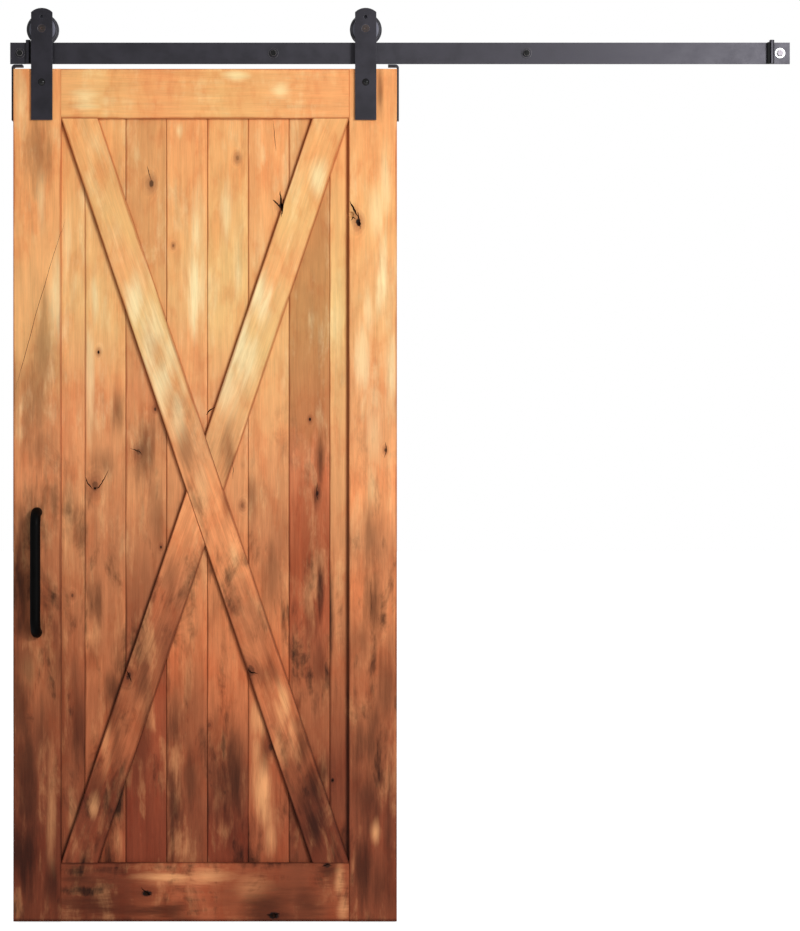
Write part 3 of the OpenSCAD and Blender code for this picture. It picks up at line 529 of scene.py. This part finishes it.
def joints_and_painted_shade(tree, node, place, along, sideways, height, torn):
    """Where the board is darkened: along its two long edges, dark joints with painted shade in the groove; beside
    the braces and the right stile, painted shadow; and along the bottom edge, painted shade.
    """
    half_w = board_facts(node)[2]
    from_edge = calc(tree, "SUBTRACT", half_w, calc(tree, "ABSOLUTE", sideways))
    from_edge = calc(tree, "ADD", from_edge, wobble(tree, torn, 0.012))
    edge = remap(tree, from_edge, 0.0004, 0.0050, edge_joint_and_shade, 0.0)
    in_front = calc(tree, "LESS_THAN", part(tree, place, "Y"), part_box(node)[0].y + front_depth)
    if node in stiles:
        past_panel = calc(tree, "ABSOLUTE", part(tree, along, "Z"))
        edge = calc(tree, "MULTIPLY", edge, remap(tree, past_panel, panel_half - 0.03, panel_half + 0.05, 1.0, 0.15))
    if node in planks:
        for line_lean in (brace_lean, -brace_lean):
            beside = calc(tree, "MULTIPLY", shadow_and_joint_beside_brace(tree, place, line_lean), in_front)
            edge = calc(tree, "MAXIMUM", edge, beside)
    # Painted shadow that the right stile casts on the last plank beside it.
    if node == planks[-1]:
        by_stile = remap(tree, sideways, half_w - 0.022, half_w - 0.0135, 0.0, painted_corner_shadow)
        edge = calc(tree, "MAXIMUM", edge, calc(tree, "MULTIPLY", by_stile, in_front))
    return calc(tree, "MAXIMUM", edge, remap(tree, height, 0.9955, 0.999, 0.0, bottom_edge_shade))


# %% A board's own knots, tones and clouds
def chain_knots(tree, node, along):
    """A board's knots, one after another: how they bend its rings, their dark cores and their red halos."""
    middle, lean = board_facts(node)[:2]
    swell, core, halo = 0.0, 0.0, 0.0
    for across, down, radius, darkness in knots:
        if board_at(across, down) != node:
            continue
        offset = on_door(across, down) - middle
        local = Vector((offset.x * math.cos(lean) - offset.z * math.sin(lean), 0,
                        offset.x * math.sin(lean) + offset.z * math.cos(lean)))
        made_knot = use_group(tree, knot_group, {
            "Along": along, "Place": local, "Radius": radius / 1000, "Darkness": darkness,
            "Swell": swell, "Core": core, "Halo": halo})
        swell, core, halo = made_knot["Swell"], made_knot["Core"], made_knot["Halo"]
    return swell, core, halo


def own_tint(tree, node, place, height, torn):
    """A board's own tones, by height, or on a rail by the way across."""
    run = height
    if node in rails:
        run = add(tree, "ShaderNodeMapRange", {"Value": part(tree, place, "X"), "From Min": door_left,
                                               "From Max": door_right}).outputs["Result"]
    run = calc(tree, "ADD", run, wobble(tree, torn, 0.10))
    stops = [(at, tuple(share / tint_scale for share in tones[tone]) + (1.0,)) for at, tone in board_tones[node]]
    tint = move(tree, "SCALE", ramp(tree, run, stops))
    tint.node.inputs["Scale"].default_value = tint_scale
    return tint


def cloud_mask(tree, node, place, torn, rows):
    """The placed clouds that lie on a board, as one mask."""
    mask = 0.0
    for across, down, wide, tall, strength in rows:
        if board_at(across, down) == node:
            mask = use_group(tree, cloud_group, {
                "Place": place, "Torn": torn, "Centre": on_door(across, down),
                "Reach": (wide * door_w, 1000.0, tall * door_h), "Strength": strength, "So far": mask})["Mask"]
    return mask


# %% The whole finish
def grey(tree, value):
    """A value as a colour, to multiply with."""
    return add(tree, "ShaderNodeCombineXYZ", {0: value, 1: value, 2: value}).outputs[0]


def wood_finish(node, seed):
    """One board's material: the stain, its own clouds and knots, and grain along its own length."""
    made, tree, shader, place = new_material("alder_" + node)
    middle, lean = board_facts(node)[:2]
    along, sideways = sideways_of(tree, place, middle, lean)
    swell, core, halo = chain_knots(tree, node, along)
    grain = use_group(tree, grain_group, {"Along": along, "Seed": seed, "Swell": swell})
    brushed = move(tree, "MULTIPLY", along, (1.0, 1.0, 0.15))
    torn = noise(tree, move(tree, "ADD", brushed, (seed, 0, seed)), 34.0, 5.0, 0.60, 0.1)
    # The stain group's colour also carries the painted shade that darkens the door towards the bottom.
    stain = use_group(tree, stain_and_falloff_group, {"Place": place, "Torn": torn})

    height = stain["Height"]
    colour = blend(tree, 1.0, stain["Colour"], own_tint(tree, node, place, height, torn), "MULTIPLY")

    # Its clouds, dark and pale; the dark ones at the handle are partly its painted shadow.
    dark = cloud_mask(tree, node, place, torn, dark_clouds_and_shadow)
    light = cloud_mask(tree, node, place, torn, pale_rubs)
    lower = remap(tree, height, 0.30, 0.65)
    share = calc(tree, "MULTIPLY_ADD", lower, pooled_more_below, pooled_at_top)
    pooled_and_shadow = calc(tree, "MAXIMUM", dark, calc(tree, "MULTIPLY", stain["Pooled"], share))
    rubbed = calc(tree, "MAXIMUM", light, calc(tree, "MULTIPLY", stain["Rubbed"], rubbed_everywhere))
    pale = ramp(tree, height, pale_by_height)
    colour = blend(tree, calc(tree, "MULTIPLY", rubbed, rub_opacity), colour, pale)
    colour = blend(tree, pooled_and_shadow, colour, blend(tree, 1.0, colour, pooled_and_shadow_share, "MULTIPLY"))

    # Its grain.
    streaks = remap(tree, grain["Streak"], 0.30, 0.70, 0.90, 1.08)
    lines = remap(tree, grain["Rings"], 0.0, 1.0, 0.96, 1.02)
    pores = remap(tree, grain["Pores"], 0.30, 0.62, 0.92, 1.04)
    depth = calc(tree, "MULTIPLY", calc(tree, "MULTIPLY", streaks, lines), pores)
    shown = 0.6 if node in rails else calc(tree, "MULTIPLY_ADD", lower, 0.45, 0.75)
    colour = blend(tree, 1.0, colour, grey(tree, calc(tree, "POWER", depth, shown)), "MULTIPLY")
    if not isinstance(halo, float):
        reddened = blend(tree, 0.6, blend(tree, 1.0, colour, knot_red, "MULTIPLY"), knot_red)
        colour = blend(tree, calc(tree, "MULTIPLY", halo, halo_opacity), colour, reddened)
        colour = blend(tree, core, colour, knot_black)

    # Its dark joints with painted shade in the grooves, painted shadow beside the braces and the right stile, and
    # painted shade along the bottom edge.
    edge = joints_and_painted_shade(tree, node, place, along, sideways, height, torn)
    joint_and_shade_tint = ramp(tree, height, joint_and_shade_by_height)
    colour = blend(tree, edge, colour, blend(tree, 1.0, colour, joint_and_shade_tint, "MULTIPLY"))

    bump = add(tree, "ShaderNodeBump", {"Height": grain["Relief"], "Strength": 0.35, "Distance": 0.0006})
    sheen = remap(tree, grain["Streak"], 0.3, 0.7, 0.66, 0.50)
    wire(tree, shader, Base_Color=colour, Roughness=sheen, Normal=bump.outputs[0], Specular_IOR_Level=wood_gloss)
    return made


boards = stiles + rails + planks + braces
wood_of = {node: wood_finish(node, 3.7 * i + 1.3) for i, node in enumerate(boards)}
print("boards finished:", len(wood_of))

# %% Painted shade on the walls of a crack
crack_walls, tree, shader, place = new_material("crack_shadow")
shade_mottle = noise(tree, place, 160.0, 3.0, 0.6)
wire(tree, shader, Base_Color=ramp(tree, shade_mottle, [(0.3, paint(20, 11, 8)), (0.75, paint(58, 32, 20))]),
     Roughness=0.85, Specular_IOR_Level=0.1)

# %% [markdown]
# ## Powder coat, rubber, oxide and zinc
# The bar and the straps are steel with a baked powder coat. It is dark grey with a faint violet cast, very
# finely dimpled, a little cloudy, and thinner and paler along its edges. That one finish, with different
# greys, makes the bar, the hardware and the wheels, so it is a group.

# %% The powder coat group
coat_group, given, result = new_group(
    "powder_coat", [("Place", "vector"), ("Thin", "colour"), ("Thick", "colour")],
    [("Colour", "colour"), ("Roughness", "value"), ("Dimples", "value")])
tree = coat_group
cloudy = noise(tree, given["Place"], 26.0, 4.0, 0.62)
flecks = noise(tree, given["Place"], 420.0, 2.0, 0.6)
thin = remap(tree, calc(tree, "MULTIPLY_ADD", flecks, 0.35, cloudy), 0.50, 0.85)
give(tree, result, Colour=blend(tree, thin, given["Thick"], given["Thin"]),
     Roughness=remap(tree, cloudy, 0.3, 0.7, -0.05, 0.05), Dimples=noise(tree, given["Place"], 1100.0, 2.0, 0.5))


violet_sheen = (0.90, 0.87, 1.0, 1.0)
fine_relief = 0.0002      # how high the coat's dimples, the turning marks and the zinc's spangle stand


def coated(name, thick, thin, roughness=0.42, bump=0.2, metallic=0.0, gloss=0.5, sheen=(1, 1, 1, 1)):
    """A powder-coated or oxidised finish, from its darker and paler greys."""
    made, tree, shader, place = new_material(name)
    coat = use_group(tree, coat_group, {"Place": place, "Thick": thick, "Thin": thin})
    dimples = add(tree, "ShaderNodeBump", {"Height": coat["Dimples"], "Strength": bump, "Distance": fine_relief})
    wire(tree, shader, Base_Color=coat["Colour"], Normal=dimples.outputs[0], Metallic=metallic,
         Roughness=calc(tree, "ADD", coat["Roughness"], roughness), Specular_IOR_Level=gloss,
         Specular_Tint=sheen)
    return made


# %% The metal finishes, and for the larger pieces the thinner coat along their edges
finish = {
    "track_steel": coated("track_coat", paint(9, 8, 12), paint(19, 17, 24), roughness=0.43, gloss=0.74,
                          sheen=violet_sheen),
    "hardware_steel": coated("hardware_coat", paint(9, 8, 12), paint(18, 16, 23), roughness=0.43, gloss=0.62,
                             sheen=violet_sheen),
    "black_fastener": coated("bolt_black", paint(4, 4, 5), paint(9, 9, 10), roughness=0.20, bump=0.05),
    "handle_black": coated("handle_coat", paint(3, 3, 3), paint(6, 6, 6), roughness=0.50, bump=0.25, gloss=0.05),
    "bumper_rubber": coated("bumper_rubber", paint(8, 8, 9), paint(16, 16, 17), roughness=0.70, bump=0.4, gloss=0.2),
    "bearing_steel": coated("bearing_steel", paint(150, 150, 156), paint(188, 188, 194), roughness=0.25, bump=0.05,
                            metallic=1.0)}
axle_brown = coated("axle_bolt_oxide", paint(36, 30, 30), paint(54, 42, 38), roughness=0.38, bump=0.1)
edge_coat = {
    "track_steel": coated("track_edge", paint(52, 50, 58), paint(74, 72, 82), roughness=0.38),
    "hardware_steel": coated("hardware_edge", paint(50, 49, 57), paint(72, 71, 80), roughness=0.38),
    "wheel_steel": coated("wheel_edge", paint(60, 59, 67), paint(84, 83, 93), roughness=0.36),
    "handle_black": coated("handle_edge", paint(5, 5, 5), paint(10, 10, 10), gloss=0.08)}
# The wall bolts' and washers' paler edges are a painted highlight where their facets catch the light.
bolt_edge_highlight = coated("bolt_edge", paint(96, 92, 92), paint(150, 146, 146), roughness=0.34)
axle_edge = coated("axle_bolt_edge", paint(84, 58, 48), paint(112, 78, 62), roughness=0.36)

# %% The wheels: dark on the rim and in the groove, paler on the turned face, partly turning marks and partly painted light
wheel_coats = {}
for side in ("left", "right"):
    low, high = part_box("wheel_" + side)
    hub, outer = (low + high) / 2, (high.x - low.x) / 2
    made, tree, shader, place = new_material("wheel_coat_" + side)
    coat = use_group(tree, coat_group, {"Place": place, "Thick": paint(30, 29, 35), "Thin": paint(42, 41, 48)})
    spoke = move(tree, "MULTIPLY", move(tree, "SUBTRACT", place, hub), (1.0, 0.0, 1.0))
    out = calc(tree, "DIVIDE", move(tree, "LENGTH", spoke), outer)
    turned = noise(tree, add(tree, "ShaderNodeCombineXYZ", {0: out}).outputs[0], 90.0, 3.0, 0.7)
    # Inside the rim the face is paler grey: painted light where the lamp falls on the face, with turning marks.
    face = remap(tree, out, 0.84, 0.80)
    lit_turned_face = ramp(tree, turned, [(0.3, paint(98, 98, 110)), (0.7, paint(128, 128, 142))])
    colour = blend(tree, face, coat["Colour"], lit_turned_face)
    bump = add(tree, "ShaderNodeBump", {"Height": turned, "Strength": 0.2, "Distance": fine_relief})
    wire(tree, shader, Base_Color=colour, Roughness=calc(tree, "ADD", coat["Roughness"], 0.42),
         Normal=bump.outputs[0])
    wheel_coats["wheel_" + side] = made

# %% Bright zinc, for the one bolt and washer that were never blackened
def zinc(name, low_grey, high_grey, metallic):
    """Zinc plate, with its spangle."""
    made, tree, shader, place = new_material(name)
    spangle = noise(tree, place, 300.0, 4.0, 0.6)
    bump = add(tree, "ShaderNodeBump", {"Height": spangle, "Strength": 0.2, "Distance": fine_relief})
    wire(tree, shader, Base_Color=ramp(tree, spangle, [(0.3, low_grey), (0.7, high_grey)]), Normal=bump.outputs[0],
         Roughness=remap(tree, spangle, 0.3, 0.7, 0.24, 0.42), Metallic=metallic)
    return made


finish["bright_fastener"] = zinc("bright_zinc", paint(206, 206, 210), paint(240, 240, 242), 0.6)
dull_zinc = zinc("dull_zinc", paint(84, 80, 84), paint(128, 124, 130), 0.9)
print("metal finishes:", len(finish) + len(wheel_coats))

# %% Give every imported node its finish
for node, piece in frame["nodes"].items():
    material = wood_of.get(node) or wheel_coats.get(node) or finish[slot_of[node]]
    if node.startswith("axle_bolt"):
        material = axle_brown
    if node == "wall_bolt_bright":
        material = dull_zinc
    piece.data.materials.clear()
    piece.data.materials.append(material)

# %% [markdown]
# ## Softened edges
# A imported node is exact, and an exact edge has no width, so it catches no light. A planed board has a small
# worn round on each edge, and a coat of powder rounds a steel one. Each of the larger pieces is therefore
# copied, its loose triangles are merged back into whole faces, and a Bevel modifier rounds its edges inside
# the same box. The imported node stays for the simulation, and the copy stands for it here.

# %% Select one object and nothing else
def pick(piece):
    """Makes this the only selected object, and the active one."""
    if bpy.context.mode != "OBJECT":
        bpy.ops.object.mode_set(mode="OBJECT")
    bpy.ops.object.select_all(action="DESELECT")
    piece.select_set(True)
    bpy.context.view_layer.objects.active = piece


def open_all():
    """Opens the picked object for editing, with all of it selected."""
    bpy.ops.object.mode_set(mode="EDIT")
    bpy.ops.mesh.select_all(action="SELECT")


same_point = 0.00001
same_plane = math.radians(0.4)


def merged_copy(node, name):
    """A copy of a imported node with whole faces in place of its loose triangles."""
    piece = bpy.data.objects.new(name, frame["nodes"][node].data.copy())
    bpy.context.scene.collection.objects.link(piece)
    pick(piece)
    if piece.data.has_custom_normals:
        bpy.ops.mesh.customdata_custom_splitnormals_clear()
    open_all()
    bpy.ops.mesh.remove_doubles(threshold=same_point)
    bpy.ops.mesh.dissolve_limited(angle_limit=same_plane)
    bpy.ops.object.mode_set(mode="OBJECT")
    return piece


round_steps = 2
sharp_edge = math.radians(28)      # an edge that turns more than this is rounded
smooth_edge = math.radians(32)     # an edge that turns less than this is shaded smooth


def soften(piece, width, edge_finish=None):
    """Rounds a piece's edges, which may take a finish of their own."""
    pick(piece)
    rounding = piece.modifiers.new("rounding", "BEVEL")
    rounding.width = width
    rounding.segments = round_steps
    rounding.limit_method = "ANGLE"
    rounding.angle_limit = sharp_edge
    rounding.use_clamp_overlap = True
    if edge_finish:
        piece.data.materials.append(edge_finish)
        rounding.material = 1
    bpy.ops.object.modifier_apply(modifier=rounding.name)


def shade(piece):
    """Smooth across rounded edges, and flat on the broad faces, which the larger faces' normals keep true."""
    pick(piece)
    bpy.ops.object.shade_smooth_by_angle(angle=smooth_edge)
    keep_flat = piece.modifiers.new("keep_flat", "WEIGHTED_NORMAL")
    keep_flat.keep_sharp = True
    bpy.ops.object.modifier_apply(modifier=keep_flat.name)


def stand_for(piece, node):
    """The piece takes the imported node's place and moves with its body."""
    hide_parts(node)
    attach(piece, body_of[node])


# %% [markdown]
# ## Cracks and open knots
# Wood dries and splits along its grain, and a loose knot falls out. Both are real holes with rough walls, so
# they are cut: a crack's cutter is a thin thread along a wandering line, wider than it is at its ends, and a
# knot's cutter is a dented ball. The Boolean modifier takes them out of the board, and passes the cutter's
# material on to the new walls: mostly a near-black painted shade inside the hole, and the board's own finish
# for three of the knots.

# %% Where the cracks run: places as shares of the door, width in millimetres
cracks = [
    ([(.348, .113), (.352, .121), (.359, .131)], 1.6), ([(.695, .143), (.697, .156), (.702, .170)], 5.0),
    ([(.676, .153), (.686, .157), (.697, .163)], 3.6), ([(.704, .152), (.703, .160), (.699, .174)], 3.0),
    ([(.8775, .155), (.888, .165), (.898, .173)], 4.6), ([(.898, .168), (.902, .178), (.904, .188)], 3.6),
    ([(.880, .178), (.886, .174), (.893, .176)], 2.4), ([(.187, .479), (.194, .487), (.206, .493)], 2.4),
    ([(.206, .493), (.222, .491), (.236, .481), (.246, .471)], 2.2),
    ([(.304, .445), (.317, .447), (.328, .449), (.335, .453)], 2.2),
    ([(.502, .406), (.510, .401), (.528, .396)], 2.6), ([(.970, .438), (.973, .447), (.968, .456)], 2.0),
    ([(.296, .705), (.302, .712), (.309, .719)], 3.0), ([(.608, .703), (.620, .708), (.638, .709)], 2.8),
    ([(.678, .060), (.680, .078), (.684, .096)], 1.2),
    ([(.135, .175), (.118, .201), (.070, .271), (.024, .347), (.005, .377)], 0.9),
    ([(.334, .960), (.348, .967), (.362, .969)], 3.2), ([(.66, .992), (.679, .993), (.695, .990)], 3.4),
    ([(.805, .936), (.818, .933), (.832, .935)], 2.0), ([(.792, .485), (.791, .497), (.793, .506)], 2.0),
    ([(.57, .46), (.573, .472), (.571, .481)], 0.9), ([(.93, .60), (.933, .625), (.931, .65)], 0.8)]
# An open knot is a place, a radius in millimetres, and 1 for walls in painted shade or 0 for the board's own finish.
open_knots = [
    (.901, .182, 5, 1), (.348, .967, 5, 1), (.679, .993, 6, 1), (.221, .332, 2.2, 1), (.700, .160, 4, 1),
    (.773, .411, 2, 1), (.384, .561, 1.6, 1), (.832, .835, 2.5, 1), (.212, .492, 3.0, 1), (.8795, .171, 8, 0),
    (.299, .711, 5, 0), (.6125, .706, 5, 0)]
crack_depth = 0.006
crack_wander = 0.0008
tip_width = 0.25
middle_width = 0.95        # added to the tips' width, halfway along
wander = random.Random(11)
print("cracks", len(cracks), "and open knots", len(open_knots))


def crack_cutter(places, width):
    """A thread along the crack, thinner at its ends."""
    points = [on_door(across, down) for across, down in places]
    path = [points[0]]
    for start, end in zip(points, points[1:]):
        step = end - start
        sideways = Vector((-step.z, 0, step.x)).normalized()
        for share in (0.25, 0.5, 0.75):
            path.append(start.lerp(end, share) + sideways * wander.uniform(-crack_wander, crack_wander))
        path.append(end)
    curve = bpy.data.curves.new("crack", "CURVE")
    curve.dimensions = "3D"
    curve.bevel_depth = width / 2000
    curve.bevel_resolution = 1
    curve.use_fill_caps = True
    line = curve.splines.new("POLY")
    line.points.add(len(path) - 1)
    for i, (point, place) in enumerate(zip(line.points, path)):
        point.co = (*place, 1)
        nearest_end = min(i, len(path) - 1 - i) / (len(path) / 2)
        point.radius = (tip_width + middle_width * min(1, nearest_end * 1.6)) * wander.uniform(0.75, 1.2)
    cutter = bpy.data.objects.new("crack_cutter", curve)
    bpy.context.scene.collection.objects.link(cutter)
    pick(cutter)
    bpy.ops.object.convert(target="MESH")
    return cutter


def knot_cutter(across, down, radius):
    """A dented ball."""
    bpy.ops.object.select_all(action="DESELECT")
    bpy.ops.mesh.primitive_ico_sphere_add(subdivisions=3, radius=radius / 1000, location=on_door(across, down))
    cutter = bpy.context.active_object
    open_all()
    bpy.ops.transform.vertex_random(offset=radius / 6000, seed=int(across * 1000))
    bpy.ops.object.mode_set(mode="OBJECT")
    bpy.ops.object.transform_apply(location=True, rotation=True, scale=True)
    return cutter


def set_in_face(cutter, face, inside):
    """Puts a cutter in a board's face: half in front of it, and stretched into the wood. The hole's walls take
    the finish that is given."""
    pick(cutter)
    open_all()
    thin = max(v.co.y for v in cutter.data.vertices)
    bpy.ops.transform.resize(value=(1, crack_depth / thin, 1), center_override=(0, 0, 0))
    bpy.ops.transform.translate(value=(0, face, 0))
    bpy.ops.object.mode_set(mode="OBJECT")
    cutter.data.materials.clear()
    cutter.data.materials.append(inside)


def cut(board, cutter):
    """Takes the cutter out of the board."""
    pick(board)
    taking = board.modifiers.new("cut", "BOOLEAN")
    taking.operation = "DIFFERENCE"
    taking.solver = "EXACT"
    taking.use_self = True
    taking.material_mode = "TRANSFER"
    taking.object = cutter
    bpy.ops.object.modifier_apply(modifier=taking.name)
    bpy.data.objects.remove(cutter)


# %% Soften the boards, then cut each one's own cracks and knots
wood_round = 0.0006
made_boards = {}
for node in boards:
    made_boards[node] = merged_copy(node, node + "_wood")
    soften(made_boards[node], wood_round)

for places, width in cracks:
    seen = sorted({board_at(across, down) for across, down in places})
    for node in seen:
        state = wander.getstate()
        cutter = crack_cutter(places, width)
        if node != seen[-1]:
            wander.setstate(state)
        set_in_face(cutter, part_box(node)[0].y, crack_walls)
        cut(made_boards[node], cutter)
for across, down, radius, dark_walls in open_knots:
    node = board_at(across, down)
    cutter = knot_cutter(across, down, radius)
    set_in_face(cutter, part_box(node)[0].y, crack_walls if dark_walls else wood_of[node])
    cut(made_boards[node], cutter)

for node, piece in made_boards.items():
    shade(piece)
    stand_for(piece, node)
print("boards", len(made_boards), "faces", sum(len(p.data.polygons) for p in made_boards.values()))

# %% Soften the steel
steel_round = {"track_bar": 0.0006, "strap_left": 0.0006, "strap_right": 0.0006, "wheel_left": 0.0004,
               "wheel_right": 0.0004, "bracket_left": 0.0004, "bracket_right": 0.0004, "stop_left": 0.0004,
               "stop_right": 0.0004, "handle": 0.0004, "hanger_bolts": 0.0003, "wall_bolts_dark": 0.0003,
               "wall_bolt_bright": 0.0003, "wall_washers_dark": 0.0003, "axle_bolt_left": 0.0004,
               "axle_bolt_right": 0.0004, "bumper_left": 0.0008, "bumper_right": 0.0008}
# Paler edges for the bolts: a painted highlight on the wall bolts and washers, coppery on the axle bolts.
pale_bolt_edges = {"wall_bolts_dark": bolt_edge_highlight, "wall_washers_dark": bolt_edge_highlight, "axle_bolt_left": axle_edge,
             "axle_bolt_right": axle_edge}
for node, width in steel_round.items():
    piece = merged_copy(node, node + "_softened")
    soften(piece, width, edge_finish=pale_bolt_edges.get(node) or edge_coat.get(slot_of[node]))
    shade(piece)
    stand_for(piece, node)
print("steel pieces softened:", len(steel_round))

# %% [markdown]
# ## Floor, light and camera
# The door is shown on a plain pale floor under an even, bright sky, with one large soft lamp in front of it
# and to its right. The lamp is placed where the right end of the bar mirrors it and the left end doesn't, so
# the bar brightens along its length, and raised boards throw a soft shadow to their left.

# %% The floor
floor_gap = 0.004
floor_glow = 0.9
floor_size = 60
bpy.ops.object.select_all(action="DESELECT")
bpy.ops.mesh.primitive_plane_add(size=floor_size, location=(0, 0, cad_low.z - floor_gap))
floor = bpy.context.active_object
floor.name = "floor"
pale, tree, shader, place = new_material("pale_floor")
to_camera = add(tree, "ShaderNodeLightPath").outputs["Is Camera Ray"]
wire(tree, shader, Base_Color=(0.9, 0.9, 0.9, 1), Roughness=0.9, Specular_IOR_Level=0.0, Emission_Color=(1, 1, 1, 1),
     Emission_Strength=calc(tree, "MULTIPLY", to_camera, floor_glow))
floor.data.materials.append(pale)

# %% The sky: bright to the camera, softer as a light
world = bpy.data.worlds.new("studio")
bpy.context.scene.world = world
world.use_nodes = True
tree = world.node_tree
tree.nodes.clear()
to_the_eye = add(tree, "ShaderNodeBackground", {"Color": (1, 1, 1, 1), "Strength": 1.0})
as_light = add(tree, "ShaderNodeBackground", {"Color": (1, 1, 1, 1), "Strength": 0.40})
pick_one = add(tree, "ShaderNodeMixShader", {
    0: add(tree, "ShaderNodeLightPath").outputs["Is Camera Ray"], 1: as_light.outputs[0],
    2: to_the_eye.outputs[0]})
add(tree, "ShaderNodeOutputWorld", {"Surface": pick_one.outputs[0]})

# %% The lamps
def lamp(name, place, aim, size, power):
    """A square soft lamp that faces a point."""
    light = bpy.data.lights.new(name, "AREA")
    light.shape, light.size, light.energy = "SQUARE", size, power
    made = bpy.data.objects.new(name, light)
    made.location = place
    made.rotation_euler = (Vector(aim) - Vector(place)).to_track_quat("-Z", "Y").to_euler()
    bpy.context.scene.collection.objects.link(made)


lamp("key", (2.5, -4.6, 0.9), (-0.2, 0, -0.8), 1.4, 200)
lamp("back_fill", (-2.5, 4.5, 1.5), (-0.3, 0, -0.9), 2.5, 110)

# %% The camera, straight in front and almost at the middle of the model's box
far_off = 7.0
lens = 113.6
sensor = 36
below_middle = 0.0015
camera = bpy.data.objects.new("camera", bpy.data.cameras.new("camera"))
camera.data.sensor_width, camera.data.lens = sensor, lens
camera.location = ((cad_low.x + cad_high.x) / 2, door_front - far_off, (cad_low.z + cad_high.z) / 2 - below_middle)
camera.rotation_euler = (math.radians(90), 0, 0)
bpy.context.scene.collection.objects.link(camera)
bpy.context.scene.camera = camera
bpy.context.scene.view_settings.view_transform = "Standard"
